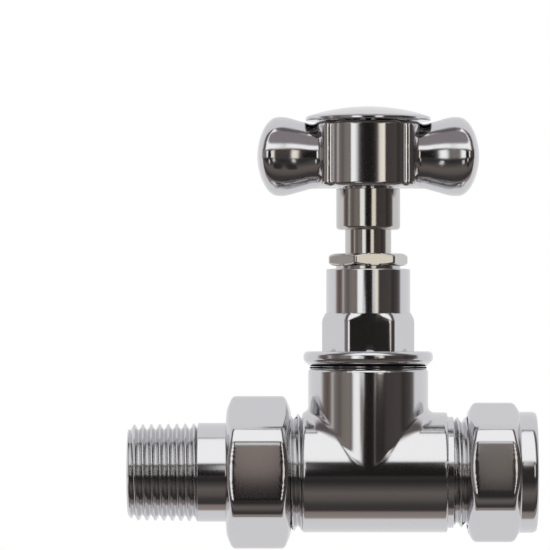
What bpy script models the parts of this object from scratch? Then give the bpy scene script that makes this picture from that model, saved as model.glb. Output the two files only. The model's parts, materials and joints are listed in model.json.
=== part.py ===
"""Straight radiator valve with a union tail, a compression end and a lobed cross handle.

Blender 4.5, metres, +Z up. The origin is where the pipe line (X) meets the spindle axis (Z).
The tail with its taper thread points to -X, the compression end to +X, the handle to +Z.
The valve is modelled fully open, with the disc at the top of its travel.
"""

import math

import bmesh
import bpy
from mathutils import Matrix, Vector

MM = 0.001

# Clearances
GAP = 0.3 * MM              # between a piece and what carries it
SEAL_GAP = 0.15 * MM        # on each side of a flat seal, and under the cap
SHUT_GAP = 0.05 * MM        # between the seat washer and its seat when the valve is shut

# Facets of the turned shapes
ROUND = 32
FINE = 36
SMALL = 20
COARSE = 16
ARC = 3
DOME_STEPS = 4
FACE_STEPS = 6
FLARE_STEPS = 4
BLANK_OVERSIZE = 1.02       # a hexagon's turned blank, over its corner radius
CORNER_KEPT = 0.956         # the two nuts' corners are turned down to this share

# Body
BODY_R = 12.85 * MM         # run and tower have the same radius
RUN_LEFT = 14.1 * MM        # from the spindle axis to the left shoulder
RUN_RIGHT = 16.9 * MM       # from the spindle axis to the right shoulder
TOWER_HEIGHT = 22.05 * MM
BODY_EDGE = 0.5 * MM
BODY_BLEND = 1.8 * MM       # fillet where the tower meets the run
TOWER_WALL = 2.65 * MM      # wall round the bonnet's spigot
CHAMBER_R = 9.3 * MM

# Seat and waterways
SEAT_TOP = 2.5 * MM
SEAT_HEIGHT = 1.0 * MM
SEAT_R = 6.3 * MM
PORT_R = 4.8 * MM
INLET_R = 4.4 * MM
INLET_DROP = 5.0 * MM       # the inlet runs this far below the pipe line, under the seat
INLET_END = 4.0 * MM
INLET_BAY_R = 6.0 * MM
INLET_BAY_DEPTH = 5.0 * MM
OUTLET_R = 4.2 * MM
OUTLET_RISE = 5.25 * MM     # the outlet climbs this much from the tail to the chamber
OUTLET_SPAN = 10.5 * MM
OUTLET_START_X = 15.5 * MM
OUTLET_START_Z = 2.25 * MM
TAIL_BAY_R = 5.5 * MM
TAIL_BAY_DEPTH = 4.0 * MM

# Union spigot, tail pipe and union nut
UNION_PITCH = 1.814 * MM
UNION_SPIGOT_R = 12.5 * MM
UNION_SPIGOT_LENGTH = 10.1 * MM
SPIGOT_CHAMFER = 0.6 * MM
TAIL_BORE_R = 6.0 * MM
NOSE_R = 8.2 * MM
NOSE_LENGTH = 6.0 * MM
NOSE_CLEARANCE = 0.7 * MM
NOSE_END_CLEARANCE = 1.0 * MM
NOSE_CHAMFER = 0.5 * MM
O_RING_SECTION_R = 0.7 * MM
TAIL_FLANGE_R = 12.2 * MM
TAIL_FLANGE_LENGTH = 2.5 * MM
TAIL_SHANK_R = 10.58 * MM
TAIL_LENGTH = 24.3 * MM     # from the flange to the open end
TAIL_THREAD_LENGTH = 14.9 * MM
TAIL_THREAD_R = 10.5 * MM   # crest radius where the thread runs out
TAIL_TAPER = 1.0 / 60.0     # fall of the crest radius towards the open end
THREAD_DEPTH = 1.16 * MM
THREAD_CREST = 0.3 * MM
THREAD_FLANK = math.radians(27.5)
THREAD_ROOT_BITE = 0.15 * MM
THREAD_STEPS = 20
TAIL_KEY_FLATS = 12.4 * MM  # six-sided socket for the fitting key
TAIL_KEY_DEPTH = 9.0 * MM
UNION_FLAT_WALL = 2.0 * MM  # wall over the nut's thread at the middle of a flat
UNION_HEX_TURN = math.radians(-2.0)
UNION_STANDOFF = 2.5 * MM   # thread left in view between nut and body
UNION_WALL = 3.0 * MM       # wall behind the tail's flange
UNION_CHAMFER = 1.7 * MM
UNION_FACE_WIDTH = 0.6 * MM # flat ring round the bore at each end

# Compression spigot, olive and compression nut
PIPE_R = 7.5 * MM
PIPE_FIT = 0.1 * MM
PIPE_DEPTH = 13.0 * MM
COLLAR_R = 11.9 * MM
COLLAR_LENGTH = 1.3 * MM
COMPRESSION_SPIGOT_R = 11.77 * MM
COMPRESSION_SPIGOT_LENGTH = 10.8 * MM
OLIVE_FIT = 0.15 * MM
OLIVE_TIP = 0.25 * MM       # wall at the olive's thin ends
OLIVE_WALL = 1.15 * MM      # wall at its middle
OLIVE_CONE = 1.6 * MM
OLIVE_LAND = 1.8 * MM
OLIVE_INSERT = 1.0 * MM     # how far it reaches into the body's mouth
CONE_GAP = 0.35 * MM
COMPRESSION_FLAT_WALL = 1.53 * MM
COMPRESSION_HEX_TURN = math.radians(-4.0)
COMPRESSION_STANDOFF = 3.0 * MM
COMPRESSION_PIPE_WAY = 2.11 * MM   # plain bore behind the cone that presses the olive
COMPRESSION_END_LENGTH = 3.7 * MM
COMPRESSION_END_STEP = 0.7 * MM   # the round end stands this much under the flats
COMPRESSION_CHAMFER = 0.8 * MM
COMPRESSION_FACE_WIDTH = 0.53 * MM
HEX_CHAMFER_SLOPE = math.tan(math.radians(30.0))
THREAD_RELIEF = 0.6 * MM

# Bonnet
WASHER_THICKNESS = 0.35 * MM
WASHER_R = 12.5 * MM
BONNET_FLANGE_R = 13.85 * MM
BONNET_FLANGE_HEIGHT = 3.2 * MM
BONNET_FLANGE_EDGE = 1.0 * MM
BONNET_FLANGE_CHAMFER = 1.3 * MM
BONNET_HEX_R = 10.0 * MM
BONNET_HEX_HEIGHT = 8.3 * MM
BONNET_HEX_TURN = math.radians(2.0)
BONNET_HEX_CHAMFER = 0.7 * MM
BONNET_CORE_R = 8.4 * MM    # under the hexagon's flats
BARREL_R = 9.0 * MM
BARREL_HEIGHT = 9.3 * MM
BARREL_CHAMFER = 0.4 * MM
GUIDE_LENGTH = 5.0 * MM     # plain hole that guides the stem under the packing
STUFFING_R = 7.2 * MM
STUFFING_DEPTH = 7.5 * MM

# Gland
PACKING_HEIGHT = 2.0 * MM
FOLLOWER_HEIGHT = 0.9 * MM
GLAND_HEX_FLATS = 15.0 * MM
GLAND_HEX_HEIGHT = 2.7 * MM
GLAND_HEX_TURN = math.radians(10.7)
GLAND_NECK = 0.6 * MM       # neck in view under the hexagon
GLAND_CHAMFER = 0.35 * MM

# Spindle and disc
SPINDLE_PITCH = 1.5 * MM
OPENING_TURNS = 2.5
SPINDLE_THREAD_R = 6.0 * MM
SPINDLE_NECK_R = 4.6 * MM
SPINDLE_FOOT_R = 6.1 * MM
SPINDLE_FOOT_HEIGHT = 1.6 * MM
SPINDLE_NECK_OVER_CUP = 0.4 * MM
STEM_R = 4.95 * MM
STEM_HEIGHT = 9.9 * MM      # above the gland nut, up to the square
SQUARE_FLATS = 6.2 * MM
SQUARE_CORNER = 0.7 * MM
SQUARE_HEIGHT = 10.5 * MM
SEAT_WASHER_R = 7.0 * MM
SEAT_WASHER_THICKNESS = 2.5 * MM
DISC_R = 8.4 * MM
DISC_FLOOR = 3.0 * MM
DISC_CUP_WALL = 0.4 * MM    # lip above the clip's groove
DISC_GROOVE_DEPTH = 0.7 * MM
CLIP_THICKNESS = 0.6 * MM
CLIP_R = 6.8 * MM
CLIP_BORE_R = 4.9 * MM
CLIP_MOUTH = 4.0 * MM
SCREW_R = 2.0 * MM
SEAT_SCREW_HEAD_R = 3.4 * MM
SEAT_SCREW_HEAD_HEIGHT = 1.8 * MM
SEAT_SCREW_BITE = 1.7 * MM
SCREW_SLOT = 0.9 * MM
SCREW_EDGE = 0.4 * MM

# Handle
SLEEVE_CLEARANCE = 5.05 * MM  # from the gland nut to the sleeve, more than the spindle's travel
SLEEVE_R = 6.85 * MM
SLEEVE_HEIGHT = 8.8 * MM
SLEEVE_CHAMFER = 0.8 * MM
SLEEVE_SPIGOT_R = 5.2 * MM
SLEEVE_SPIGOT_HEIGHT = 6.9 * MM
HUB_HALF_WIDTH = 7.4 * MM    # from the axis to the sides that carry the arms
HUB_DEPTH = 10.5 * MM       # from the axis to the bowed front and back
HUB_FACE_R = 18.0 * MM
HUB_CORNER = 1.3 * MM
HUB_HEIGHT = 14.05 * MM
HUB_EDGE = 0.6 * MM
HUB_FLOOR = 7.1 * MM        # thickness under the cap's recess
RECESS_R = 6.7 * MM
ARM_ANGLES = (0.0, 180.0)
ARM_AXIS_HEIGHT = 6.55 * MM   # above the underside of the hub
ARM_NECK_R = 6.85 * MM
ARM_FLARE = 3.0 * MM        # fillet between arm and hub
ARM_FLARE_SWEEP = 75.0      # degrees of the fillet that are drawn
ARM_CLEARANCE = 0.05 * MM   # keeps the faces of arm, hub and bore apart
ARM_OUTLINE = (             # radius and distance from the axis, in millimetres
    (0.0, 23.9), (1.8, 23.7), (3.75, 23.15), (5.5, 22.5), (6.95, 21.75), (7.72, 21.05), (8.3, 20.2),
    (8.45, 18.9), (8.08, 17.4), (7.58, 15.7), (7.2, 14.0), (6.95, 12.2),
)
CAP_R = 13.4 * MM
CAP_RIM = 1.0 * MM
CAP_DOME = 2.1 * MM
CAP_EDGE = 0.3 * MM
CAP_SPIGOT_R = 6.1 * MM
CAP_SPIGOT_WALL = 1.5 * MM
CAP_RING_SECTION_R = 0.4 * MM
CAP_SPIGOT_DEPTH = 3.15 * MM
CAP_FLOOR = 0.35 * MM
HANDLE_WASHER_R = 6.4 * MM
HANDLE_WASHER_THICKNESS = 0.6 * MM
HANDLE_SCREW_HEAD_R = 4.2 * MM
HANDLE_SCREW_HEAD_HEIGHT = 2.0 * MM
HANDLE_SCREW_LENGTH = 9.5 * MM

# Places along the pipe line
RIGHT_COLLAR_X = RUN_RIGHT + COLLAR_LENGTH
RIGHT_END_X = RIGHT_COLLAR_X + COMPRESSION_SPIGOT_LENGTH
PIPE_STOP_X = RIGHT_END_X - PIPE_DEPTH
SOCKET_R = PIPE_R + PIPE_FIT
LEFT_END_X = -RUN_LEFT - UNION_SPIGOT_LENGTH
FLANGE_X = LEFT_END_X - GAP
FLANGE_BACK_X = FLANGE_X - TAIL_FLANGE_LENGTH
TAIL_END_X = FLANGE_BACK_X - TAIL_LENGTH
NOSE_END_X = FLANGE_X + NOSE_LENGTH
TAIL_SOCKET_R = NOSE_R + NOSE_CLEARANCE
TAIL_SOCKET_X = NOSE_END_X + NOSE_END_CLEARANCE
NOSE_GROOVE_R = TAIL_SOCKET_R - 2.0 * (O_RING_SECTION_R + GAP)
NOSE_GROOVE_X = FLANGE_X + 0.5 * NOSE_LENGTH
TAIL_THREAD_X = TAIL_END_X + TAIL_THREAD_LENGTH

# Heights up the spindle axis
WASHER_Z = TOWER_HEIGHT + SEAL_GAP
BONNET_Z = WASHER_Z + WASHER_THICKNESS + SEAL_GAP
BONNET_HEX_Z = BONNET_Z + BONNET_FLANGE_HEIGHT
BARREL_Z = BONNET_HEX_Z + BONNET_HEX_HEIGHT
BARREL_TOP_Z = BARREL_Z + BARREL_HEIGHT
STUFFING_Z = BARREL_TOP_Z - STUFFING_DEPTH
GUIDE_Z = STUFFING_Z - GUIDE_LENGTH
PACKING_Z = STUFFING_Z + GAP
FOLLOWER_Z = PACKING_Z + PACKING_HEIGHT + GAP
GLAND_Z = FOLLOWER_Z + FOLLOWER_HEIGHT + GAP
GLAND_HEX_Z = BARREL_TOP_Z + GLAND_NECK
GLAND_TOP_Z = GLAND_HEX_Z + GLAND_HEX_HEIGHT
LIFT = OPENING_TURNS * SPINDLE_PITCH
SEAT_WASHER_Z = SEAT_TOP + SHUT_GAP + LIFT
DISC_Z = SEAT_WASHER_Z + SEAT_WASHER_THICKNESS + GAP
DISC_FLOOR_Z = DISC_Z + DISC_FLOOR
FOOT_Z = DISC_FLOOR_Z + GAP
FOOT_TOP_Z = FOOT_Z + SPINDLE_FOOT_HEIGHT
CLIP_Z = FOOT_TOP_Z + GAP
GROOVE_TOP_Z = CLIP_Z + CLIP_THICKNESS + GAP
CUP_TOP_Z = GROOVE_TOP_Z + DISC_CUP_WALL
SPINDLE_THREAD_Z = CUP_TOP_Z + SPINDLE_NECK_OVER_CUP
SPINDLE_SHOULDER_Z = GUIDE_Z - GAP
BONNET_SPIGOT_Z = CUP_TOP_Z + GAP
SQUARE_Z = GLAND_TOP_Z + STEM_HEIGHT
SPINDLE_TOP_Z = SQUARE_Z + SQUARE_HEIGHT
SLEEVE_Z = GLAND_TOP_Z + SLEEVE_CLEARANCE
SLEEVE_TOP_Z = SLEEVE_Z + SLEEVE_HEIGHT
SLEEVE_END_Z = SLEEVE_TOP_Z + SLEEVE_SPIGOT_HEIGHT
HUB_Z = SLEEVE_TOP_Z + GAP
HUB_TOP_Z = HUB_Z + HUB_HEIGHT
HUB_FLOOR_Z = HUB_Z + HUB_FLOOR
ARM_Z = HUB_Z + ARM_AXIS_HEIGHT
HANDLE_WASHER_Z = HUB_FLOOR_Z + GAP
HANDLE_SCREW_Z = HANDLE_WASHER_Z + HANDLE_WASHER_THICKNESS + GAP
CAP_Z = HUB_TOP_Z + SEAL_GAP

# Radii that follow their neighbours
BONNET_SPIGOT_R = BODY_R - TOWER_WALL - GAP
BONNET_BORE_R = SPINDLE_THREAD_R + GAP
GUIDE_R = STEM_R + GAP
FOLLOWER_R = STUFFING_R - GAP
CUP_R = SPINDLE_FOOT_R + GAP
SCREW_HOLE_R = SCREW_R + GAP
UNION_BORE_R = UNION_SPIGOT_R + GAP
COMPRESSION_BORE_R = COMPRESSION_SPIGOT_R + GAP
OLIVE_BORE_R = PIPE_R + OLIVE_FIT
CAP_RING_R = RECESS_R - GAP - CAP_RING_SECTION_R
CAP_GROOVE_R = CAP_RING_R - CAP_RING_SECTION_R - GAP

# Colours: base colour, metallic, roughness
CHROME = ((0.62, 0.62, 0.63), 1.0, 0.12)
SATIN = ((0.55, 0.54, 0.52), 1.0, 0.3)
BRASS = ((0.72, 0.53, 0.25), 1.0, 0.3)
STEEL = ((0.5, 0.5, 0.5), 1.0, 0.35)
RUBBER = ((0.02, 0.02, 0.02), 0.0, 0.7)
PACKING = ((0.8, 0.79, 0.75), 0.0, 0.6)


def clear_scene():
    """Remove every object that the file opened with."""
    for old in list(bpy.data.objects):
        bpy.data.objects.remove(old, do_unlink=True)


def make_collection(name):
    """Add a collection to the scene."""
    group = bpy.data.collections.new(name)
    bpy.context.scene.collection.children.link(group)
    return group


def add_object(name, mesh):
    """Link a mesh as a tool or an unfinished piece."""
    obj = bpy.data.objects.new(name, mesh)
    TOOLS.objects.link(obj)
    obj.hide_render = True
    obj.display_type = "WIRE"
    return obj


def finish(obj, name, finish_values):
    """Name a piece, give it its material and move it to the valve's collection."""
    TOOLS.objects.unlink(obj)
    VALVE.objects.link(obj)
    obj.name = name
    obj.hide_render = False
    obj.display_type = "TEXTURED"
    colour, metallic, roughness = finish_values
    material = bpy.data.materials.new(name)
    material.use_nodes = True
    shader = material.node_tree.nodes["Principled BSDF"]
    shader.inputs["Base Color"].default_value = (*colour, 1.0)
    shader.inputs["Metallic"].default_value = metallic
    shader.inputs["Roughness"].default_value = roughness
    obj.data.materials.clear()
    obj.data.materials.append(material)
    return obj


def along_x(obj):
    """Lay a piece that was turned about Z along the pipe line."""
    obj.rotation_euler = (0.0, 0.5 * math.pi, 0.0)
    return obj


def arc(centre, radius, start, end, steps):
    """Points on an arc, with angles in degrees from the outward direction."""
    points = []
    for step in range(steps + 1):
        angle = math.radians(start + (end - start) * step / steps)
        points.append((centre[0] + radius * math.cos(angle), centre[1] + radius * math.sin(angle)))
    return points


def rounded(points):
    """Turn each corner given as (radius, height, fillet) into a short arc."""
    path = []
    count = len(points)
    for index, point in enumerate(points):
        if len(point) == 2:
            path.append(point)
            continue
        corner = complex(point[0], point[1])
        before = complex(*points[index - 1][:2]) - corner
        after = complex(*points[(index + 1) % count][:2]) - corner
        before_unit = before / abs(before)
        after_unit = after / abs(after)
        half = 0.5 * math.acos(max(-1.0, min(1.0, (before_unit * after_unit.conjugate()).real)))
        setback = min(point[2] / math.tan(half), 0.45 * abs(before), 0.45 * abs(after))
        fillet = setback * math.tan(half)
        centre = corner + (before_unit + after_unit) / abs(before_unit + after_unit) * fillet / math.sin(half)
        first = corner + before_unit * setback - centre
        last = corner + after_unit * setback - centre
        sweep = math.atan2((last / first).imag, (last / first).real)
        for step in range(ARC + 1):
            turn = sweep * step / ARC
            spot = centre + first * complex(math.cos(turn), math.sin(turn))
            path.append((spot.real, spot.imag))
    return path


def turned(name, profile, ring=False, segments=ROUND):
    """Turn a profile of (radius, height) points about Z, from its top down its outer side."""
    points = rounded(profile)
    mesh = bpy.data.meshes.new(name)
    edges = [(index, index + 1) for index in range(len(points) - 1)]
    if ring:
        edges.append((len(points) - 1, 0))
    mesh.from_pydata([(radius, 0.0, height) for radius, height in points], edges, [])
    obj = add_object(name, mesh)
    screw = obj.modifiers.new("Turn", "SCREW")
    screw.axis = "Z"
    screw.steps = segments
    screw.render_steps = segments
    screw.use_merge_vertices = True
    screw.merge_threshold = 0.00001
    return obj


def prism(name, sides, corner_radius, low, high, turn=0.0):
    """Upright prism with a flat towards -Y when turn is zero and it has four or six sides."""
    mesh = bpy.data.meshes.new(name)
    shape = bmesh.new()
    bmesh.ops.create_cone(
        shape, cap_ends=True, segments=sides, radius1=corner_radius, radius2=corner_radius, depth=high - low
    )
    upright = Matrix.Translation((0.0, 0.0, 0.5 * (low + high)))
    bmesh.ops.transform(shape, matrix=upright @ Matrix.Rotation(math.pi / sides + turn, 4, "Z"), verts=shape.verts)
    shape.to_mesh(mesh)
    shape.free()
    return add_object(name, mesh)


def box(name, size, centre):
    """Plain block, given by its size and centre."""
    mesh = bpy.data.meshes.new(name)
    shape = bmesh.new()
    bmesh.ops.create_cube(shape, size=1.0, matrix=Matrix.Translation(centre) @ Matrix.Diagonal((*size, 1.0)))
    shape.to_mesh(mesh)
    shape.free()
    return add_object(name, mesh)


def combine(obj, tool, operation):
    """Add an exact Boolean modifier."""
    boolean = obj.modifiers.new(tool.name, "BOOLEAN")
    boolean.operation = operation
    boolean.object = tool
    boolean.solver = "EXACT"
    return obj


def weld(obj):
    """Merge the doubles that a Boolean leaves."""
    modifier = obj.modifiers.new("Weld", "WELD")
    modifier.merge_threshold = 0.000005
    return obj


def settled(obj):
    """Mesh object with the modifiers of the given one worked in, in world axes."""
    bpy.context.view_layer.update()
    evaluated = obj.evaluated_get(bpy.context.evaluated_depsgraph_get())
    mesh = bpy.data.meshes.new_from_object(evaluated)
    mesh.transform(obj.matrix_world)
    result = add_object(obj.name + "_settled", mesh)
    bpy.data.objects.remove(obj, do_unlink=True)
    return result


def drilled(obj, name, radius, start, end, segments=SMALL):
    """Cut a straight round passage between two points."""
    mesh = bpy.data.meshes.new(name)
    shape = bmesh.new()
    direction = end - start
    bmesh.ops.create_cone(
        shape, cap_ends=True, segments=segments, radius1=radius, radius2=radius, depth=direction.length
    )
    shape.to_mesh(mesh)
    shape.free()
    tool = add_object(name, mesh)
    tool.rotation_mode = "QUATERNION"
    tool.rotation_quaternion = direction.to_track_quat("Z", "Y")
    tool.location = 0.5 * (start + end)
    return combine(obj, tool, "DIFFERENCE")


def blend_weights(obj, width):
    """Round the valley between tower and run, wide where they cross squarely and fading to the sides."""
    shape = bmesh.new()
    shape.from_mesh(obj.data)
    bmesh.ops.remove_doubles(shape, verts=shape.verts, dist=0.000005)
    sag = BODY_R * (1.0 - math.cos(math.pi / ROUND)) + 0.01 * MM
    weight = shape.edges.layers.float.new("bevel_weight_edge")
    for edge in shape.edges:
        in_valley = all(
            vert.co.z > -sag
            and abs(math.hypot(vert.co.y, vert.co.z) - BODY_R) < sag
            and abs(math.hypot(vert.co.x, vert.co.y) - BODY_R) < sag
            for vert in edge.verts
        )
        if in_valley and len(edge.link_faces) == 2 and not edge.is_convex:
            edge[weight] = min(1.0, math.tan(0.5 * edge.calc_face_angle(0.0)))
    shape.to_mesh(obj.data)
    shape.free()
    bevel = obj.modifiers.new("Valley fillet", "BEVEL")
    bevel.limit_method = "WEIGHT"
    bevel.width = width
    bevel.segments = 3
    return obj


def make_body():
    """T shaped body: one casting with its seat, waterways and the two threaded spigots."""
    run = along_x(turned("run", [
        (0.0, RIGHT_END_X),
        (COMPRESSION_SPIGOT_R - SPIGOT_CHAMFER, RIGHT_END_X),
        (COMPRESSION_SPIGOT_R, RIGHT_END_X - SPIGOT_CHAMFER),
        (COMPRESSION_SPIGOT_R, RIGHT_COLLAR_X),
        (COLLAR_R, RIGHT_COLLAR_X),
        (COLLAR_R, RUN_RIGHT),
        (BODY_R, RUN_RIGHT, BODY_EDGE),
        (BODY_R, -RUN_LEFT, BODY_EDGE),
        (UNION_SPIGOT_R, -RUN_LEFT),
        (UNION_SPIGOT_R, LEFT_END_X + SPIGOT_CHAMFER),
        (UNION_SPIGOT_R - SPIGOT_CHAMFER, LEFT_END_X),
        (0.0, LEFT_END_X),
    ]))
    tower = turned("tower", [(0.0, TOWER_HEIGHT), (BODY_R, TOWER_HEIGHT, BODY_EDGE), (BODY_R, 0.0), (0.0, 0.0)])
    body = blend_weights(settled(combine(run, tower, "UNION")), BODY_BLEND)
    spigot_bore_r = BODY_R - TOWER_WALL
    chamber = turned("chamber", [
        (0.0, TOWER_HEIGHT + GAP),
        (spigot_bore_r, TOWER_HEIGHT + GAP),
        (spigot_bore_r, BONNET_SPIGOT_Z - GAP),
        (CHAMBER_R, BONNET_SPIGOT_Z - GAP),
        (CHAMBER_R, SEAT_TOP - SEAT_HEIGHT),
        (SEAT_R, SEAT_TOP - SEAT_HEIGHT),
        (SEAT_R, SEAT_TOP),
        (PORT_R, SEAT_TOP),
        (PORT_R, -INLET_DROP),
        (0.0, -INLET_DROP),
    ])
    combine(body, chamber, "DIFFERENCE")
    olive_slope = (OLIVE_WALL - OLIVE_TIP) / OLIVE_CONE
    mouth_r = OLIVE_BORE_R + OLIVE_TIP + olive_slope * OLIVE_INSERT + CONE_GAP
    mouth_depth = (mouth_r - SOCKET_R) / olive_slope
    pipe_socket = along_x(turned("pipe_socket", [
        (0.0, RIGHT_END_X + GAP),
        (mouth_r + olive_slope * GAP, RIGHT_END_X + GAP),
        (SOCKET_R, RIGHT_END_X - mouth_depth),
        (SOCKET_R, PIPE_STOP_X),
        (INLET_BAY_R, PIPE_STOP_X),
        (INLET_BAY_R, PIPE_STOP_X - INLET_BAY_DEPTH),
        (0.0, PIPE_STOP_X - INLET_BAY_DEPTH),
    ], segments=SMALL))
    combine(body, pipe_socket, "DIFFERENCE")
    tail_socket = along_x(turned("tail_socket", [
        (0.0, TAIL_SOCKET_X + TAIL_BAY_DEPTH),
        (TAIL_BAY_R, TAIL_SOCKET_X + TAIL_BAY_DEPTH),
        (TAIL_BAY_R, TAIL_SOCKET_X),
        (TAIL_SOCKET_R, TAIL_SOCKET_X),
        (TAIL_SOCKET_R, LEFT_END_X - GAP),
        (0.0, LEFT_END_X - GAP),
    ], segments=SMALL))
    combine(body, tail_socket, "DIFFERENCE")
    inlet_from = Vector((PIPE_STOP_X - 0.5 * INLET_BAY_DEPTH, 0.0, -INLET_DROP))
    drilled(body, "inlet", INLET_R, inlet_from, Vector((-INLET_END, 0.0, -INLET_DROP)))
    outlet_from = Vector((-OUTLET_START_X, 0.0, OUTLET_START_Z))
    drilled(body, "outlet", OUTLET_R, outlet_from, outlet_from + Vector((OUTLET_SPAN, 0.0, OUTLET_RISE)))
    return finish(weld(body), "valve_body", CHROME)


def thread_ridge():
    """Helical ridge of the taper thread, in the tail's own axes with Z along the pipe line."""
    turns = math.ceil(TAIL_THREAD_LENGTH / UNION_PITCH) + 2
    bottom = TAIL_END_X - UNION_PITCH
    inner = TAIL_THREAD_R - THREAD_DEPTH - THREAD_ROOT_BITE
    half_crest = 0.5 * THREAD_CREST
    half_root = half_crest + (THREAD_DEPTH + THREAD_ROOT_BITE) * math.tan(THREAD_FLANK)
    corners = [
        (TAIL_THREAD_R, half_crest),
        (TAIL_THREAD_R, -half_crest),
        (inner, -half_root),
        (inner, half_root),
    ]
    mesh = bpy.data.meshes.new("ridge")
    mesh.from_pydata([(radius, 0.0, bottom + height) for radius, height in corners],
                     [(0, 1), (1, 2), (2, 3), (3, 0)], [])
    ridge = add_object("ridge", mesh)
    screw = ridge.modifiers.new("Helix", "SCREW")
    screw.axis = "Z"
    screw.steps = THREAD_STEPS
    screw.render_steps = THREAD_STEPS
    screw.iterations = turns
    screw.screw_offset = UNION_PITCH
    ridge = settled(ridge)
    shape = bmesh.new()
    shape.from_mesh(ridge.data)
    bmesh.ops.holes_fill(shape, edges=[edge for edge in shape.edges if edge.is_boundary], sides=0)
    for vert in shape.verts:
        fall = TAIL_TAPER * (TAIL_THREAD_X - vert.co.z)
        radius = math.hypot(vert.co.x, vert.co.y)
        vert.co.x *= (radius - fall) / radius
        vert.co.y *= (radius - fall) / radius
    bmesh.ops.recalc_face_normals(shape, faces=shape.faces)
    shape.to_mesh(ridge.data)
    shape.free()
    tip_r = TAIL_THREAD_R - TAIL_TAPER * TAIL_THREAD_LENGTH
    limit = turned("thread_limit", [
        (0.0, TAIL_THREAD_X + GAP),
        (TAIL_SHANK_R, TAIL_THREAD_X + GAP),
        (TAIL_SHANK_R, TAIL_END_X + THREAD_DEPTH),
        (tip_r - THREAD_DEPTH, TAIL_END_X + GAP),
        (0.0, TAIL_END_X + GAP),
    ])
    return combine(ridge, limit, "INTERSECT")


def make_tail_pipe():
    """Union tail: nose with its ring groove, flange, plain shank and taper thread."""
    root_r = TAIL_THREAD_R - THREAD_DEPTH
    tip_root_r = root_r - TAIL_TAPER * TAIL_THREAD_LENGTH
    half_groove = O_RING_SECTION_R + 2.0 * GAP
    blank = turned("tail_blank", [
        (NOSE_R - NOSE_CHAMFER, NOSE_END_X),
        (NOSE_R, NOSE_END_X - NOSE_CHAMFER),
        (NOSE_R, NOSE_GROOVE_X + half_groove),
        (NOSE_GROOVE_R, NOSE_GROOVE_X + half_groove),
        (NOSE_GROOVE_R, NOSE_GROOVE_X - half_groove),
        (NOSE_R, NOSE_GROOVE_X - half_groove),
        (NOSE_R, FLANGE_X),
        (TAIL_FLANGE_R, FLANGE_X),
        (TAIL_FLANGE_R, FLANGE_BACK_X),
        (TAIL_SHANK_R, FLANGE_BACK_X),
        (TAIL_SHANK_R, TAIL_THREAD_X),
        (root_r, TAIL_THREAD_X - THREAD_DEPTH),
        (tip_root_r, TAIL_END_X),
        (TAIL_BORE_R, TAIL_END_X),
        (TAIL_BORE_R, NOSE_END_X),
    ], ring=True, segments=THREAD_STEPS)
    tail = settled(combine(blank, thread_ridge(), "UNION"))
    key_r = 0.5 * TAIL_KEY_FLATS / math.cos(math.pi / 6.0)
    key = prism("key_socket", 6, key_r, TAIL_END_X - GAP, TAIL_END_X + TAIL_KEY_DEPTH)
    return finish(along_x(settled(combine(tail, key, "DIFFERENCE"))), "tail_pipe", CHROME)


def make_ring(name, centre_r, section_r, height, finish_values):
    """O-ring lying level at the given height."""
    bpy.ops.mesh.primitive_torus_add(
        major_radius=centre_r, minor_radius=section_r, major_segments=SMALL, minor_segments=6,
        location=(0.0, 0.0, 0.0),
    )
    made = bpy.context.object
    mesh = made.data.copy()
    bpy.data.objects.remove(made, do_unlink=True)
    mesh.transform(Matrix.Translation((0.0, 0.0, height)))
    return finish(add_object(name, mesh), name, finish_values)


def make_union_nut():
    """Hexagon nut that draws the tail's flange onto the body."""
    front = -RUN_LEFT - UNION_STANDOFF
    wall = FLANGE_BACK_X - GAP
    back = wall - UNION_WALL
    corner_r = (UNION_BORE_R + UNION_FLAT_WALL) / math.cos(math.pi / 6.0)
    blank_r = corner_r * CORNER_KEPT
    face_r = UNION_BORE_R + UNION_FACE_WIDTH
    blank = turned("union_blank", [
        (face_r, front),
        (blank_r, front - UNION_CHAMFER),
        (blank_r, back + UNION_CHAMFER),
        (face_r, back),
        (TAIL_SHANK_R + GAP, back),
        (TAIL_SHANK_R + GAP, wall),
        (UNION_BORE_R, wall),
        (UNION_BORE_R, front),
    ], ring=True, segments=FINE)
    hexagon = prism("union_hexagon", 6, corner_r, back - GAP, front + GAP, UNION_HEX_TURN)
    return finish(along_x(settled(combine(blank, hexagon, "INTERSECT"))), "union_nut", CHROME)


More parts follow.
